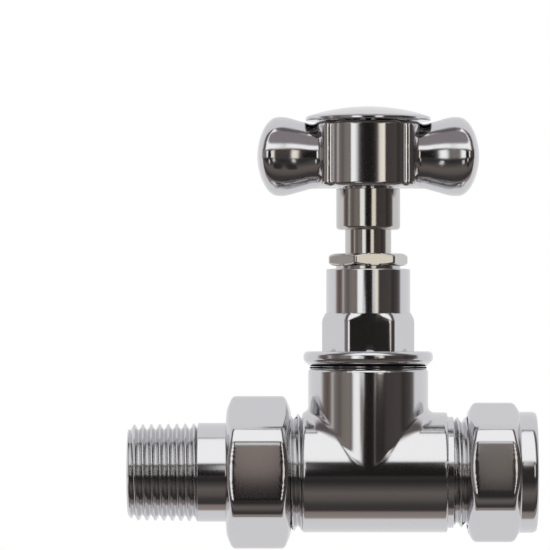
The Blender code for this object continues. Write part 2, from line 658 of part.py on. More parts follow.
def make_compression_nut():
    """Hexagon nut with a plain round end, whose inner cone presses the olive."""
    front = RIGHT_COLLAR_X + COMPRESSION_STANDOFF
    olive_slope = (OLIVE_WALL - OLIVE_TIP) / OLIVE_CONE
    land_end = RIGHT_END_X - OLIVE_INSERT + OLIVE_CONE + OLIVE_LAND
    cone_r = OLIVE_BORE_R + OLIVE_WALL + CONE_GAP
    pipe_way_r = OLIVE_BORE_R + PIPE_FIT
    cone_end = land_end + (cone_r - pipe_way_r) / olive_slope
    back = cone_end + COMPRESSION_PIPE_WAY
    hex_end = back - COMPRESSION_END_LENGTH
    flat_r = COMPRESSION_BORE_R + COMPRESSION_FLAT_WALL
    corner_r = flat_r / math.cos(math.pi / 6.0)
    blank_r = corner_r * CORNER_KEPT
    end_r = flat_r - COMPRESSION_END_STEP
    face_r = COMPRESSION_BORE_R + COMPRESSION_FACE_WIDTH
    blank = turned("compression_blank", [
        (end_r - COMPRESSION_CHAMFER, back),
        (end_r, back - COMPRESSION_CHAMFER),
        (end_r, hex_end),
        (blank_r, hex_end - (blank_r - end_r) * HEX_CHAMFER_SLOPE),
        (blank_r, front + (blank_r - face_r) * HEX_CHAMFER_SLOPE),
        (face_r, front),
        (COMPRESSION_BORE_R, front),
        (COMPRESSION_BORE_R, RIGHT_END_X + THREAD_RELIEF),
        (cone_r, RIGHT_END_X + THREAD_RELIEF),
        (cone_r, land_end),
        (pipe_way_r, cone_end),
        (pipe_way_r, back),
    ], ring=True, segments=FINE)
    hexagon = prism("compression_hexagon", 6, corner_r, front - GAP, back + GAP, COMPRESSION_HEX_TURN)
    return finish(along_x(settled(combine(blank, hexagon, "INTERSECT"))), "compression_nut", CHROME)


def make_olive():
    """Double cone ring that grips the pipe."""
    start = RIGHT_END_X - OLIVE_INSERT
    end = start + 2.0 * OLIVE_CONE + OLIVE_LAND
    olive = turned("olive", [
        (OLIVE_BORE_R + OLIVE_TIP, end),
        (OLIVE_BORE_R + OLIVE_WALL, end - OLIVE_CONE),
        (OLIVE_BORE_R + OLIVE_WALL, start + OLIVE_CONE),
        (OLIVE_BORE_R + OLIVE_TIP, start),
        (OLIVE_BORE_R, start),
        (OLIVE_BORE_R, end),
    ], ring=True, segments=SMALL)
    return finish(along_x(olive), "compression_olive", BRASS)


def make_washer(name, radius, bore, height, thickness, finish_values, segments=ROUND):
    """Flat ring."""
    ring = turned(name, [
        (radius, height + thickness),
        (radius, height),
        (bore, height),
        (bore, height + thickness),
    ], ring=True, segments=segments)
    return finish(ring, name, finish_values)


def make_bonnet():
    """Bonnet: flange, hexagon and barrel outside, spindle thread, guide and stuffing box inside."""
    stem_side = turned("bonnet_turned", [
        (BARREL_R - BARREL_CHAMFER, BARREL_TOP_Z),
        (BARREL_R, BARREL_TOP_Z - BARREL_CHAMFER),
        (BARREL_R, BARREL_Z),
        (BONNET_CORE_R, BARREL_Z),
        (BONNET_CORE_R, BONNET_HEX_Z),
        (BONNET_FLANGE_R, BONNET_HEX_Z, BONNET_FLANGE_EDGE),
        (BONNET_FLANGE_R, BONNET_Z + BONNET_FLANGE_CHAMFER),
        (BONNET_FLANGE_R - BONNET_FLANGE_CHAMFER, BONNET_Z),
        (BONNET_SPIGOT_R, BONNET_Z),
        (BONNET_SPIGOT_R, BONNET_SPIGOT_Z),
        (BONNET_BORE_R, BONNET_SPIGOT_Z),
        (BONNET_BORE_R, GUIDE_Z),
        (GUIDE_R, GUIDE_Z),
        (GUIDE_R, STUFFING_Z),
        (STUFFING_R, STUFFING_Z),
        (STUFFING_R, BARREL_TOP_Z),
    ], ring=True)
    blank_r = BONNET_HEX_R * BLANK_OVERSIZE
    inside_r = 0.5 * (BONNET_CORE_R + STUFFING_R)
    cone_rise = GAP * BONNET_HEX_CHAMFER / (blank_r - BARREL_R)
    blank = turned("bonnet_hex_blank", [
        (BARREL_R - GAP, BARREL_Z + cone_rise),
        (blank_r, BARREL_Z - BONNET_HEX_CHAMFER),
        (blank_r, BONNET_HEX_Z - GAP),
        (inside_r, BONNET_HEX_Z - GAP),
        (inside_r, BARREL_Z + cone_rise),
    ], ring=True)
    hexagon = prism("bonnet_hexagon", 6, BONNET_HEX_R, BONNET_Z, BARREL_TOP_Z, BONNET_HEX_TURN)
    flats = settled(combine(blank, hexagon, "INTERSECT"))
    return finish(settled(combine(stem_side, flats, "UNION")), "bonnet", CHROME)


def make_gland_nut():
    """Gland nut: hexagon over a spigot that presses the follower onto the packing."""
    corner_r = 0.5 * GLAND_HEX_FLATS / math.cos(math.pi / 6.0)
    blank_r = corner_r * BLANK_OVERSIZE
    edge_r = 0.5 * GLAND_HEX_FLATS
    blank = turned("gland_blank", [
        (edge_r, GLAND_TOP_Z),
        (blank_r, GLAND_TOP_Z - GLAND_CHAMFER),
        (blank_r, GLAND_HEX_Z + GLAND_CHAMFER),
        (edge_r, GLAND_HEX_Z),
        (FOLLOWER_R, GLAND_HEX_Z),
        (FOLLOWER_R, GLAND_Z),
        (GUIDE_R, GLAND_Z),
        (GUIDE_R, GLAND_TOP_Z),
    ], ring=True)
    hexagon = prism("gland_hexagon", 6, corner_r, GLAND_Z - GAP, GLAND_TOP_Z + GAP, GLAND_HEX_TURN)
    return finish(settled(combine(blank, hexagon, "INTERSECT")), "gland_nut", SATIN)


def square_bar(name, flats, corner, low, high):
    """Upright square bar with rounded corners."""
    bar = box(name, (flats, flats, high - low), (0.0, 0.0, 0.5 * (low + high)))
    shape = bmesh.new()
    shape.from_mesh(bar.data)
    weight = shape.edges.layers.float.new("bevel_weight_edge")
    for edge in shape.edges:
        if abs(edge.verts[0].co.z - edge.verts[1].co.z) > GAP:
            edge[weight] = 1.0
    shape.to_mesh(bar.data)
    shape.free()
    bevel = bar.modifiers.new("Corners", "BEVEL")
    bevel.limit_method = "WEIGHT"
    bevel.width = corner
    bevel.segments = 2
    return bar


def make_spindle():
    """Rising spindle: foot held in the disc, thread, plain stem and square for the handle."""
    stem = turned("stem", [
        (0.0, SQUARE_Z),
        (STEM_R - BARREL_CHAMFER, SQUARE_Z),
        (STEM_R, SQUARE_Z - BARREL_CHAMFER),
        (STEM_R, SPINDLE_SHOULDER_Z),
        (SPINDLE_THREAD_R, SPINDLE_SHOULDER_Z),
        (SPINDLE_THREAD_R, SPINDLE_THREAD_Z),
        (SPINDLE_NECK_R, SPINDLE_THREAD_Z),
        (SPINDLE_NECK_R, FOOT_TOP_Z),
        (SPINDLE_FOOT_R, FOOT_TOP_Z),
        (SPINDLE_FOOT_R, FOOT_Z),
        (0.0, FOOT_Z),
    ], segments=SMALL)
    square = square_bar("square", SQUARE_FLATS, SQUARE_CORNER, SQUARE_Z - STEM_R, SPINDLE_TOP_Z)
    combine(stem, square, "UNION")
    hole_end = HANDLE_SCREW_Z - HANDLE_SCREW_LENGTH - GAP
    drilled(stem, "screw_hole", SCREW_HOLE_R, Vector((0.0, 0.0, hole_end)),
            Vector((0.0, 0.0, SPINDLE_TOP_Z + GAP)), COARSE)
    return finish(stem, "spindle", SATIN)


def make_disc():
    """Valve disc: a cup that holds the spindle's foot."""
    disc = turned("disc", [
        (0.0, DISC_FLOOR_Z),
        (CUP_R, DISC_FLOOR_Z),
        (CUP_R, FOOT_TOP_Z),
        (CUP_R + DISC_GROOVE_DEPTH, FOOT_TOP_Z),
        (CUP_R + DISC_GROOVE_DEPTH, GROOVE_TOP_Z),
        (CUP_R, GROOVE_TOP_Z),
        (CUP_R, CUP_TOP_Z),
        (DISC_R, CUP_TOP_Z),
        (DISC_R, DISC_Z),
        (SCREW_HOLE_R, DISC_Z),
        (SCREW_HOLE_R, DISC_Z + SEAT_SCREW_BITE + GAP),
        (0.0, DISC_Z + SEAT_SCREW_BITE + GAP),
    ], segments=SMALL)
    return finish(disc, "valve_disc", BRASS)


def make_clip():
    """Open spring ring in the cup's groove, above the spindle's foot."""
    ring = turned("clip", [
        (CLIP_R, CLIP_Z + CLIP_THICKNESS),
        (CLIP_R, CLIP_Z),
        (CLIP_BORE_R, CLIP_Z),
        (CLIP_BORE_R, CLIP_Z + CLIP_THICKNESS),
    ], ring=True)
    mouth_size = (2.0 * CLIP_R, CLIP_MOUTH, 2.0 * (CLIP_THICKNESS + GAP))
    mouth = box("clip_mouth", mouth_size, (CLIP_R, 0.0, CLIP_Z))
    return finish(settled(combine(ring, mouth, "DIFFERENCE")), "disc_retaining_clip", STEEL)


def make_seat_screw():
    """Screw that holds the seat washer, with its head below and a slot across it."""
    top = DISC_Z + SEAT_SCREW_BITE
    head_top = SEAT_WASHER_Z - GAP
    head_low = head_top - SEAT_SCREW_HEAD_HEIGHT
    screw = turned("seat_screw", [
        (0.0, top),
        (SCREW_R, top),
        (SCREW_R, head_top),
        (SEAT_SCREW_HEAD_R, head_top),
        (SEAT_SCREW_HEAD_R, head_low),
        (0.0, head_low),
    ], segments=SMALL)
    slot_size = (2.0 * (SEAT_SCREW_HEAD_R + GAP), SCREW_SLOT, SEAT_SCREW_HEAD_HEIGHT)
    slot = box("seat_slot", slot_size, (0.0, 0.0, head_low))
    return finish(combine(screw, slot, "DIFFERENCE"), "seat_washer_screw", STEEL)


def make_sleeve():
    """Handle bush: the sleeve under the handle, with a spigot up into the hub and a square socket."""
    socket_end = SQUARE_Z + GAP
    sleeve = turned("sleeve", [
        (0.0, SLEEVE_END_Z),
        (SLEEVE_SPIGOT_R, SLEEVE_END_Z),
        (SLEEVE_SPIGOT_R, SLEEVE_TOP_Z),
        (SLEEVE_R, SLEEVE_TOP_Z),
        (SLEEVE_R, SLEEVE_Z, SLEEVE_CHAMFER),
        (GUIDE_R, SLEEVE_Z),
        (GUIDE_R, socket_end),
        (0.0, socket_end),
    ], segments=SMALL)
    corner = SQUARE_CORNER + GAP
    square = square_bar("socket", SQUARE_FLATS + 2.0 * GAP, corner, socket_end - GAP, SLEEVE_END_Z + GAP)
    return finish(combine(sleeve, square, "DIFFERENCE"), "handle_bush", SATIN)


def arm_profile():
    """Outline of a lobed arm from its rounded end to the flare inside the hub."""
    outline = [(radius * MM, along * MM) for radius, along in ARM_OUTLINE]
    flare_x = HUB_HALF_WIDTH + ARM_FLARE
    outline.extend(arc((ARM_NECK_R + ARM_FLARE, flare_x), ARM_FLARE, 180.0, 180.0 + ARM_FLARE_SWEEP, FLARE_STEPS))
    root = 0.5 * HUB_HALF_WIDTH
    outline.append((outline[-1][0], root))
    outline.append((0.0, root))
    return outline


def hub_plan():
    """Outline of the hub from above: bowed front and back, straight sides, rounded corners."""
    bow = HUB_FACE_R - HUB_DEPTH
    corner_x = HUB_HALF_WIDTH - HUB_CORNER
    corner_y = math.sqrt((HUB_FACE_R - HUB_CORNER) ** 2 - corner_x ** 2) - bow
    sweep = math.degrees(math.asin(corner_x / (HUB_FACE_R - HUB_CORNER)))
    right = arc((corner_x, corner_y), HUB_CORNER, 0.0, 90.0 - sweep, ARC)
    face = arc((0.0, -bow), HUB_FACE_R, 90.0 - sweep, 90.0 + sweep, FACE_STEPS)
    left = arc((-corner_x, corner_y), HUB_CORNER, 90.0 + sweep, 180.0, ARC)
    half = right[:-1] + face + left[1:]
    return half + [(-x, -y) for x, y in half]


def make_hub():
    """Solid block of the hub, with its upper and lower edges rounded."""
    lower = []
    for step in range(ARC + 1):
        turn = 0.5 * math.pi * step / ARC
        lower.append((HUB_EDGE * (1.0 - math.sin(turn)), HUB_Z + HUB_EDGE * (1.0 - math.cos(turn))))
    layers = lower + [(inset, HUB_Z + HUB_TOP_Z - height) for inset, height in reversed(lower)]
    plan = hub_plan()
    count = len(plan)
    points = []
    for inset, height in layers:
        across = 1.0 - inset / HUB_HALF_WIDTH
        deep = 1.0 - inset / HUB_DEPTH
        points.extend((x * across, y * deep, height) for x, y in plan)
    faces = [tuple(reversed(range(count))), tuple(range(len(points) - count, len(points)))]
    for layer in range(len(layers) - 1):
        first = layer * count
        for index in range(count):
            after = (index + 1) % count
            faces.append((first + index, first + after, first + count + after, first + count + index))
    mesh = bpy.data.meshes.new("hub")
    mesh.from_pydata(points, [], faces)
    return add_object("hub", mesh)


def make_handle():
    """Handle: hub with lobed arms, bored for the bush and recessed for the cap."""
    hub = make_hub()
    flare_end = HUB_HALF_WIDTH + ARM_FLARE + GAP
    spare = (2.0 * flare_end, 4.0 * HUB_DEPTH, HUB_HEIGHT)
    top = HUB_TOP_Z - 2.0 * ARM_CLEARANCE + 0.5 * HUB_HEIGHT
    bottom = ARM_Z - ARM_NECK_R - ARM_CLEARANCE - 0.5 * HUB_HEIGHT
    for angle in ARM_ANGLES:
        arm = turned("arm", arm_profile(), segments=SMALL)
        turn = Matrix.Rotation(math.radians(angle), 4, "Z") @ Matrix.Rotation(0.5 * math.pi, 4, "Y")
        arm.matrix_world = Matrix.Translation((0.0, 0.0, ARM_Z)) @ turn
        for height in (top, bottom):
            arm = settled(combine(arm, box("flare_limit", spare, (0.0, 0.0, height)), "DIFFERENCE"))
        hub = settled(combine(hub, arm, "UNION"))
    seat = HUB_Z + ARM_CLEARANCE
    bore = turned("handle_bore", [
        (0.0, HUB_TOP_Z + GAP),
        (RECESS_R, HUB_TOP_Z + GAP),
        (RECESS_R, HUB_FLOOR_Z),
        (SLEEVE_SPIGOT_R + GAP, HUB_FLOOR_Z),
        (SLEEVE_SPIGOT_R + GAP, seat),
        (SLEEVE_R + GAP, seat),
        (SLEEVE_R + GAP, HUB_Z - HUB_EDGE - GAP),
        (0.0, HUB_Z - HUB_EDGE - GAP),
    ])
    return finish(weld(combine(hub, bore, "DIFFERENCE")), "handle", CHROME)


def make_handle_screw():
    """Slotted screw that holds the handle on the square."""
    head_top = HANDLE_SCREW_Z + HANDLE_SCREW_HEAD_HEIGHT
    screw = turned("handle_screw_turned", [
        (0.0, head_top),
        (HANDLE_SCREW_HEAD_R, head_top, SCREW_EDGE),
        (HANDLE_SCREW_HEAD_R, HANDLE_SCREW_Z),
        (SCREW_R, HANDLE_SCREW_Z),
        (SCREW_R, HANDLE_SCREW_Z - HANDLE_SCREW_LENGTH),
        (0.0, HANDLE_SCREW_Z - HANDLE_SCREW_LENGTH),
    ], segments=COARSE)
    slot_size = (2.0 * (HANDLE_SCREW_HEAD_R + GAP), SCREW_SLOT, HANDLE_SCREW_HEAD_HEIGHT)
    slot = box("screw_slot", slot_size, (0.0, 0.0, head_top))
    return finish(combine(screw, slot, "DIFFERENCE"), "handle_screw", STEEL)


def make_cap():
    """Domed cap with a grooved spigot that snaps into the hub's recess."""
    rim_r = CAP_R - CAP_EDGE
    dome_r = (rim_r ** 2 + CAP_DOME ** 2) / (2.0 * CAP_DOME)
    rim_top = CAP_Z + CAP_RIM
    dome_centre = rim_top + CAP_DOME - dome_r
    dome = []
    for step in range(DOME_STEPS + 1):
        angle = math.asin(rim_r / dome_r) * step / DOME_STEPS
        dome.append((dome_r * math.sin(angle), dome_centre + dome_r * math.cos(angle)))
    bottom = CAP_Z - CAP_SPIGOT_DEPTH
    ring_z = CAP_Z - 0.5 * CAP_SPIGOT_DEPTH
    half_groove = CAP_RING_SECTION_R + GAP
    cap = turned("cap", dome + [
        (CAP_R, rim_top - CAP_EDGE),
        (CAP_R, CAP_Z),
        (CAP_SPIGOT_R, CAP_Z),
        (CAP_SPIGOT_R, ring_z + half_groove),
        (CAP_GROOVE_R, ring_z + half_groove),
        (CAP_GROOVE_R, ring_z - half_groove),
        (CAP_SPIGOT_R, ring_z - half_groove),
        (CAP_SPIGOT_R, bottom),
        (CAP_SPIGOT_R - CAP_SPIGOT_WALL, bottom),
        (CAP_SPIGOT_R - CAP_SPIGOT_WALL, CAP_Z + CAP_FLOOR),
        (0.0, CAP_Z + CAP_FLOOR),
    ])
    return finish(cap, "handle_cap", CHROME)


clear_scene()
VALVE = make_collection("straight_radiator_valve")
TOOLS = make_collection("tools")

make_body()
make_tail_pipe()
along_x(make_ring("tail_o_ring", 0.5 * (NOSE_GROOVE_R + TAIL_SOCKET_R), O_RING_SECTION_R, NOSE_GROOVE_X, RUBBER))
make_union_nut()
make_compression_nut()
make_olive()
make_washer("bonnet_washer", WASHER_R, BONNET_SPIGOT_R + GAP, WASHER_Z, WASHER_THICKNESS, RUBBER)
make_bonnet()
make_washer("gland_packing", FOLLOWER_R, GUIDE_R, PACKING_Z, PACKING_HEIGHT, PACKING, SMALL)
make_washer("gland_follower", FOLLOWER_R, GUIDE_R, FOLLOWER_Z, FOLLOWER_HEIGHT, BRASS, SMALL)
make_gland_nut()
make_spindle()
make_disc()
make_washer("seat_washer", SEAT_WASHER_R, SCREW_HOLE_R, SEAT_WASHER_Z, SEAT_WASHER_THICKNESS, RUBBER, SMALL)
make_seat_screw()
make_clip()
make_sleeve()
make_handle()
make_washer("handle_screw_washer", HANDLE_WASHER_R, SCREW_HOLE_R, HANDLE_WASHER_Z,
            HANDLE_WASHER_THICKNESS, STEEL, SMALL)
make_handle_screw()
make_cap()
make_ring("cap_o_ring", CAP_RING_R, CAP_RING_SECTION_R, CAP_Z - 0.5 * CAP_SPIGOT_DEPTH, RUBBER)
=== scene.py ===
"""Straight radiator valve: the pieces in view, their finishes and the studio round them."""

import json
import math

import bpy
import numpy as np
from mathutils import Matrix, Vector

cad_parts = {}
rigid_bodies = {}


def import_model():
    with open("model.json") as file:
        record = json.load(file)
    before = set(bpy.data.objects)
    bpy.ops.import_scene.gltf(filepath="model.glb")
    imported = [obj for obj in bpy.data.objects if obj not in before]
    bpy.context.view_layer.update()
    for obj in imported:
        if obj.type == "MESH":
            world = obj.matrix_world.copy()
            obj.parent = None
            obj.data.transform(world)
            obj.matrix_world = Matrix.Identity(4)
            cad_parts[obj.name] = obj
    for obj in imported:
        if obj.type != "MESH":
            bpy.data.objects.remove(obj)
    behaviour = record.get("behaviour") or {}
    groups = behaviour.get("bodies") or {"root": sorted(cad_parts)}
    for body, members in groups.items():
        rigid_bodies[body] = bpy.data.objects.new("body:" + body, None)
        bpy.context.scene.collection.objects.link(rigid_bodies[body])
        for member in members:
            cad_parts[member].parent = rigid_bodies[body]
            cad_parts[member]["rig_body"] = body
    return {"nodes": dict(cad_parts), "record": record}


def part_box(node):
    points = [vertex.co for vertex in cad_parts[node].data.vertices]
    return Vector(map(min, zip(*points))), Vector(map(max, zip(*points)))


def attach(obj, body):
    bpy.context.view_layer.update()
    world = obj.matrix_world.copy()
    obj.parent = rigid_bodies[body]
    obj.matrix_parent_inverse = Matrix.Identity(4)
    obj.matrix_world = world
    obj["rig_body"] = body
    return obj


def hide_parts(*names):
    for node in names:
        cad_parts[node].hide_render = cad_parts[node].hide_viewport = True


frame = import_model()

bl_info = {
    "name": "Straight radiator valve",
    "version": (1, 0, 0),
    "blender": (4, 5, 0),
    "location": "View3D > Sidebar > Valve",
    "description": "Builds the valve piece by piece, with its finishes and a small studio",
    "category": "Object",
}

MM = 0.001
ROUND = 128                 # facets round a turned piece
FINE = 288                  # facets round a softened hexagon
ARC = 6                     # facets of a rounded edge
THREAD_STEPS = 128          # facets round a thread
KNOT_STEPS = 8              # steps from one measured point to the next
DOME_STEPS = 27             # steps from the middle of the cap to its rim
MERGE = 0.00001
SQUARE_CORNER = 0.7 * MM


def length(name, value, description):
    """Size in millimetres, kept in metres."""
    return bpy.props.FloatProperty(
        name=name, description=description, default=value * MM, min=0.0, soft_max=0.1, precision=4, unit="LENGTH"
    )


def angle(name, value, description):
    """Angle in degrees, kept in radians."""
    return bpy.props.FloatProperty(
        name=name, description=description, default=math.radians(value), subtype="ANGLE"
    )


def fraction(name, value, description):
    """Plain number from nought to one."""
    return bpy.props.FloatProperty(name=name, description=description, default=value, min=0.0, max=1.0)


def colour(name, value, description):
    """Linear colour."""
    return bpy.props.FloatVectorProperty(
        name=name, description=description, default=value, size=3, min=0.0, max=2.0, subtype="COLOR"
    )


class ValveBodySizes(bpy.types.PropertyGroup):
    """Sizes of the T shaped body."""

    radius: length("Radius", 12.85, "Outer radius of the run and of the tower")
    run_left: length("Run left", 14.1, "From the spindle axis to the left shoulder")
    run_right: length("Run right", 16.9, "From the spindle axis to the right shoulder")
    tower: length("Tower height", 22.05, "From the pipe line to the tower's top")
    edge: length("Edge", 0.5, "Rounding of the shoulders and of the tower's top")
    valley: length("Valley fillet", 1.3, "Fillet between run and tower at the sides")
    valley_soft: length("Soft valley", 2.9, "What the fillet gains towards the front and back")
    collar: length("Collar radius", 11.9, "Plain collar on the compression side")
    collar_length: length("Collar length", 1.3, "Length of that collar")
    left_thread: length("Left thread", 12.5, "Crest radius of the union thread")
    right_thread: length("Right thread", 11.77, "Crest radius of the compression thread")
    thread_depth: length("Thread depth", 1.0, "From crest to root")
    pitch: length("Pitch", 1.814, "Pitch of both outer threads")


class ValveTailSizes(bpy.types.PropertyGroup):
    """Sizes of the union tail."""

    shank: length("Shank radius", 10.58, "Plain part between nut and thread")
    thread: length("Thread radius", 10.5, "Crest radius where the taper thread runs out")
    thread_length: length("Thread length", 14.9, "Length of the taper thread")
    depth: length("Thread depth", 1.16, "From crest to root")
    bore: length("Bore radius", 6.0, "Water way")
    flange: length("Flange radius", 12.2, "Flange that the union nut draws in")
    nose: length("Nose radius", 8.2, "Nose that enters the body")
    key: length("Key flats", 12.4, "Across the flats of the six-sided key socket")


class ValveNutSizes(bpy.types.PropertyGroup):
    """Sizes of the two hexagon nuts on the pipe line."""

    union_flat: length("Union flats", 14.8, "From the axis to the union nut's flats")
    union_corner: length("Union corner", 5.0, "Rounding of the union nut's corners")
    union_turn: angle("Union turn", -2.0, "How the union nut stands")
    union_chamfer: length("Union chamfer", 1.7, "Height of the union nut's end chamfers")
    press_flat: length("Compression flats", 13.6, "From the axis to the compression nut's flats")
    press_corner: length("Compression corner", 4.9, "Rounding of the compression nut's corners")
    press_turn: angle("Compression turn", -6.5, "How the compression nut stands")
    press_end: length("Round end", 12.95, "Radius of the compression nut's plain end")
    edge: length("Edge", 0.55, "Rounding of the other edges")


class ValveBonnetSizes(bpy.types.PropertyGroup):
    """Sizes of the bonnet and of the gland nut."""

    flange: length("Flange radius", 13.85, "Round flange on the tower")
    flange_height: length("Flange height", 3.2, "Thickness of that flange")
    hexagon: length("Hexagon flats", 8.75, "From the axis to the flats")
    hexagon_height: length("Hexagon height", 8.3, "Height of the flats")
    hexagon_corner: length("Hexagon corner", 1.4, "Rounding of the hexagon's corners")
    hexagon_turn: angle("Hexagon turn", 2.0, "How the hexagon stands")
    barrel: length("Barrel radius", 9.0, "Round part over the hexagon")
    gland: length("Gland flats", 7.5, "From the axis to the gland nut's flats")
    gland_turn: angle("Gland turn", 10.7, "How the gland nut stands")
    stem: length("Stem radius", 4.95, "Rising stem")


class ValveHandleSizes(bpy.types.PropertyGroup):
    """Sizes of the handle and its cap."""

    hub_depth: length("Hub depth", 11.0, "From the axis to the middle of each of the hub's six sides")
    hub_curve: length("Hub curve", 20.5, "Radius of those bowed sides")
    hub_corner: length("Hub corner", 1.3, "Rounding of the hub's upright corners")
    bead: length("Bead", 1.5, "Radius of the round beads at the hub's sides")
    bead_x: length("Bead place", 8.35, "From the axis along the arms to each bead's middle")
    bead_y: length("Bead depth", 7.1, "From the axis across the arms to each bead's middle")
    bead_blend: length("Bead blend", 0.4, "Softness of the groove beside each bead")
    flare: length("Flare", 1.1, "Fillet between hub and arms")
    edge: length("Hub edge", 0.8, "Rounding of the hub's top and bottom")
    cap: length("Cap radius", 13.4, "Outer radius of the cap")
    rim: length("Cap rim", 1.0, "Height of the cap's upright rim")
    cap_edge: length("Cap edge", 0.35, "Rounding of the cap's edges")
    sleeve: length("Sleeve radius", 6.85, "Sleeve under the handle")


class ValveFinishes(bpy.types.PropertyGroup):
    """Colours and roughness of the finishes."""

    chrome: colour("Chrome", (0.88, 0.88, 0.895), "Bright plate")
    chrome_rough: fraction("Chrome roughness", 0.03, "Roughness of the bright plate")
    nickel: colour("Nickel", (0.8, 0.79, 0.77), "Duller plate")
    nickel_rough: fraction("Nickel roughness", 0.16, "Roughness of the duller plate")
    brass: colour("Brass", (0.78, 0.56, 0.26), "Inner brass pieces")
    steel: colour("Steel", (0.6, 0.6, 0.6), "Screws and clip")
    # Painted shade: this colour is laid into the thread roots and under the gland nut, where the plate lies in shade.
    root: colour("Thread root", (0.06, 0.07, 0.1), "What the plate looks like deep in the threads")
    rubber: colour("Rubber", (0.012, 0.012, 0.013), "Washers and rings")
    packing: colour("Packing", (0.8, 0.79, 0.75), "Gland packing")


class ValveStudio(bpy.types.PropertyGroup):
    """Camera and surroundings."""

    camera: bpy.props.FloatVectorProperty(
        name="Camera", description="Where the camera stands", default=(-0.0077, -0.9, 0.0315), size=3, unit="LENGTH"
    )
    lens: bpy.props.FloatProperty(name="Lens", description="Focal length in millimetres", default=275.3)
    shift_x: bpy.props.FloatProperty(name="Shift X", description="Sideways shift of the frame", default=-0.104)
    shift_y: bpy.props.FloatProperty(name="Shift Y", description="Upward shift of the frame", default=0.091)
    strength: bpy.props.FloatProperty(name="Strength", description="Brightness of the surroundings", default=1.5)
    white: colour("White", (0.88, 0.88, 0.875), "Soft lights")
    backdrop: colour("Backdrop", (0.6, 0.6, 0.61), "Sweep behind and under the valve")
    black: colour("Black", (0.008, 0.006, 0.006), "Camera and its stand")


def activate(obj):
    """Make one object the only selected and active one."""
    bpy.ops.object.select_all(action="DESELECT")
    obj.select_set(True)
    bpy.context.view_layer.objects.active = obj
    return obj


def points_of(obj):
    """Vertex places as an array."""
    places = np.zeros(len(obj.data.vertices) * 3)
    obj.data.vertices.foreach_get("co", places)
    return places.reshape(-1, 3)


def move_points(obj, places):
    """Write the vertex places back."""
    obj.data.vertices.foreach_set("co", places.ravel())
    obj.data.update()


def rounded(points, steps=ARC):
    """Turn each corner given as (radius, height, fillet) into a short arc."""
    path = []
    count = len(points)
    for index, point in enumerate(points):
        if len(point) == 2:
            path.append(point)
            continue
        corner = complex(point[0], point[1])
        before = complex(*points[index - 1][:2]) - corner
        after = complex(*points[(index + 1) % count][:2]) - corner
        before_unit = before / abs(before)
        after_unit = after / abs(after)
        half = 0.5 * math.acos(max(-1.0, min(1.0, (before_unit * after_unit.conjugate()).real)))
        setback = min(point[2] / math.tan(half), 0.49 * abs(before), 0.49 * abs(after))
        fillet = setback * math.tan(half)
        centre = corner + (before_unit + after_unit) / abs(before_unit + after_unit) * fillet / math.sin(half)
        first = corner + before_unit * setback - centre
        last = corner + after_unit * setback - centre
        sweep = math.atan2((last / first).imag, (last / first).real)
        for step in range(steps + 1):
            turn = sweep * step / steps
            spot = centre + first * complex(math.cos(turn), math.sin(turn))
            path.append((spot.real, spot.imag))
    return path


def divided(points, longest):
    """Outline with its long edges divided."""
    path = []
    for index, point in enumerate(points):
        after = points[(index + 1) % len(points)]
        pieces = max(1, math.ceil(math.dist(point, after) / longest))
        for step in range(pieces):
            part = step / pieces
            path.append((point[0] + (after[0] - point[0]) * part, point[1] + (after[1] - point[1]) * part))
    return path


def weld():
    """Merge what meets in edit mode, turn every face outwards, and leave edit mode."""
    bpy.ops.mesh.select_all(action="SELECT")
    bpy.ops.mesh.remove_doubles(threshold=MERGE)
    bpy.ops.mesh.normals_make_consistent(inside=False)
    bpy.ops.object.mode_set(mode="OBJECT")


def drum(radius, start, end):
    """Outline of a plain round bar."""
    return [(0.0, start), (radius, start), (radius, end), (0.0, end)]


def turned(name, outline, ring=False, steps=ROUND):
    """Draw an outline of (radius, height) points and spin it about Z."""
    bpy.ops.object.select_all(action="DESELECT")
    bpy.ops.mesh.primitive_plane_add(size=MM)
    obj = bpy.context.object
    obj.name = name
    bpy.ops.object.mode_set(mode="EDIT")
    bpy.ops.mesh.select_all(action="SELECT")
    bpy.ops.mesh.merge(type="CENTER")
    here = outline[0]
    bpy.ops.transform.translate(value=(here[0], 0.0, here[1]))
    for place in list(outline[1:]) + ([outline[0]] if ring else []):
        step = (place[0] - here[0], 0.0, place[1] - here[1])
        bpy.ops.mesh.extrude_vertices_move(TRANSFORM_OT_translate={"value": step})
        here = place
    bpy.ops.mesh.select_all(action="SELECT")
    bpy.ops.mesh.spin(steps=steps, angle=2.0 * math.pi, center=(0.0, 0.0, 0.0), axis=(0.0, 0.0, 1.0))
    weld()
    return obj


def along_x(obj):
    """Lay a piece that was turned about Z along the pipe line."""
    activate(obj)
    obj.rotation_euler = (0.0, 0.5 * math.pi, 0.0)
    bpy.ops.object.transform_apply(location=True, rotation=True, scale=True)
    return obj


def settled(name):
    """Name the piece that was just added, and work its place, turn and size in."""
    obj = bpy.context.object
    obj.name = name
    bpy.ops.object.transform_apply(location=True, rotation=True, scale=True)
    return obj


def prism(name, flats, low, high, turn):
    """Upright six-sided bar with a flat towards -Y when turn is nought."""
    bpy.ops.object.select_all(action="DESELECT")
    bpy.ops.mesh.primitive_cylinder_add(
        vertices=6, radius=flats / math.cos(math.pi / 6.0), depth=high - low,
        location=(0.0, 0.0, 0.5 * (low + high)), rotation=(0.0, 0.0, math.pi / 6.0 + turn),
    )
    return settled(name)


def block(name, low, high):
    """Plain block between two corners."""
    bpy.ops.object.select_all(action="DESELECT")
    bpy.ops.mesh.primitive_cube_add(size=1.0, location=[0.5 * (a + b) for a, b in zip(low, high)])
    bpy.context.object.scale = [b - a for a, b in zip(low, high)]
    return settled(name)


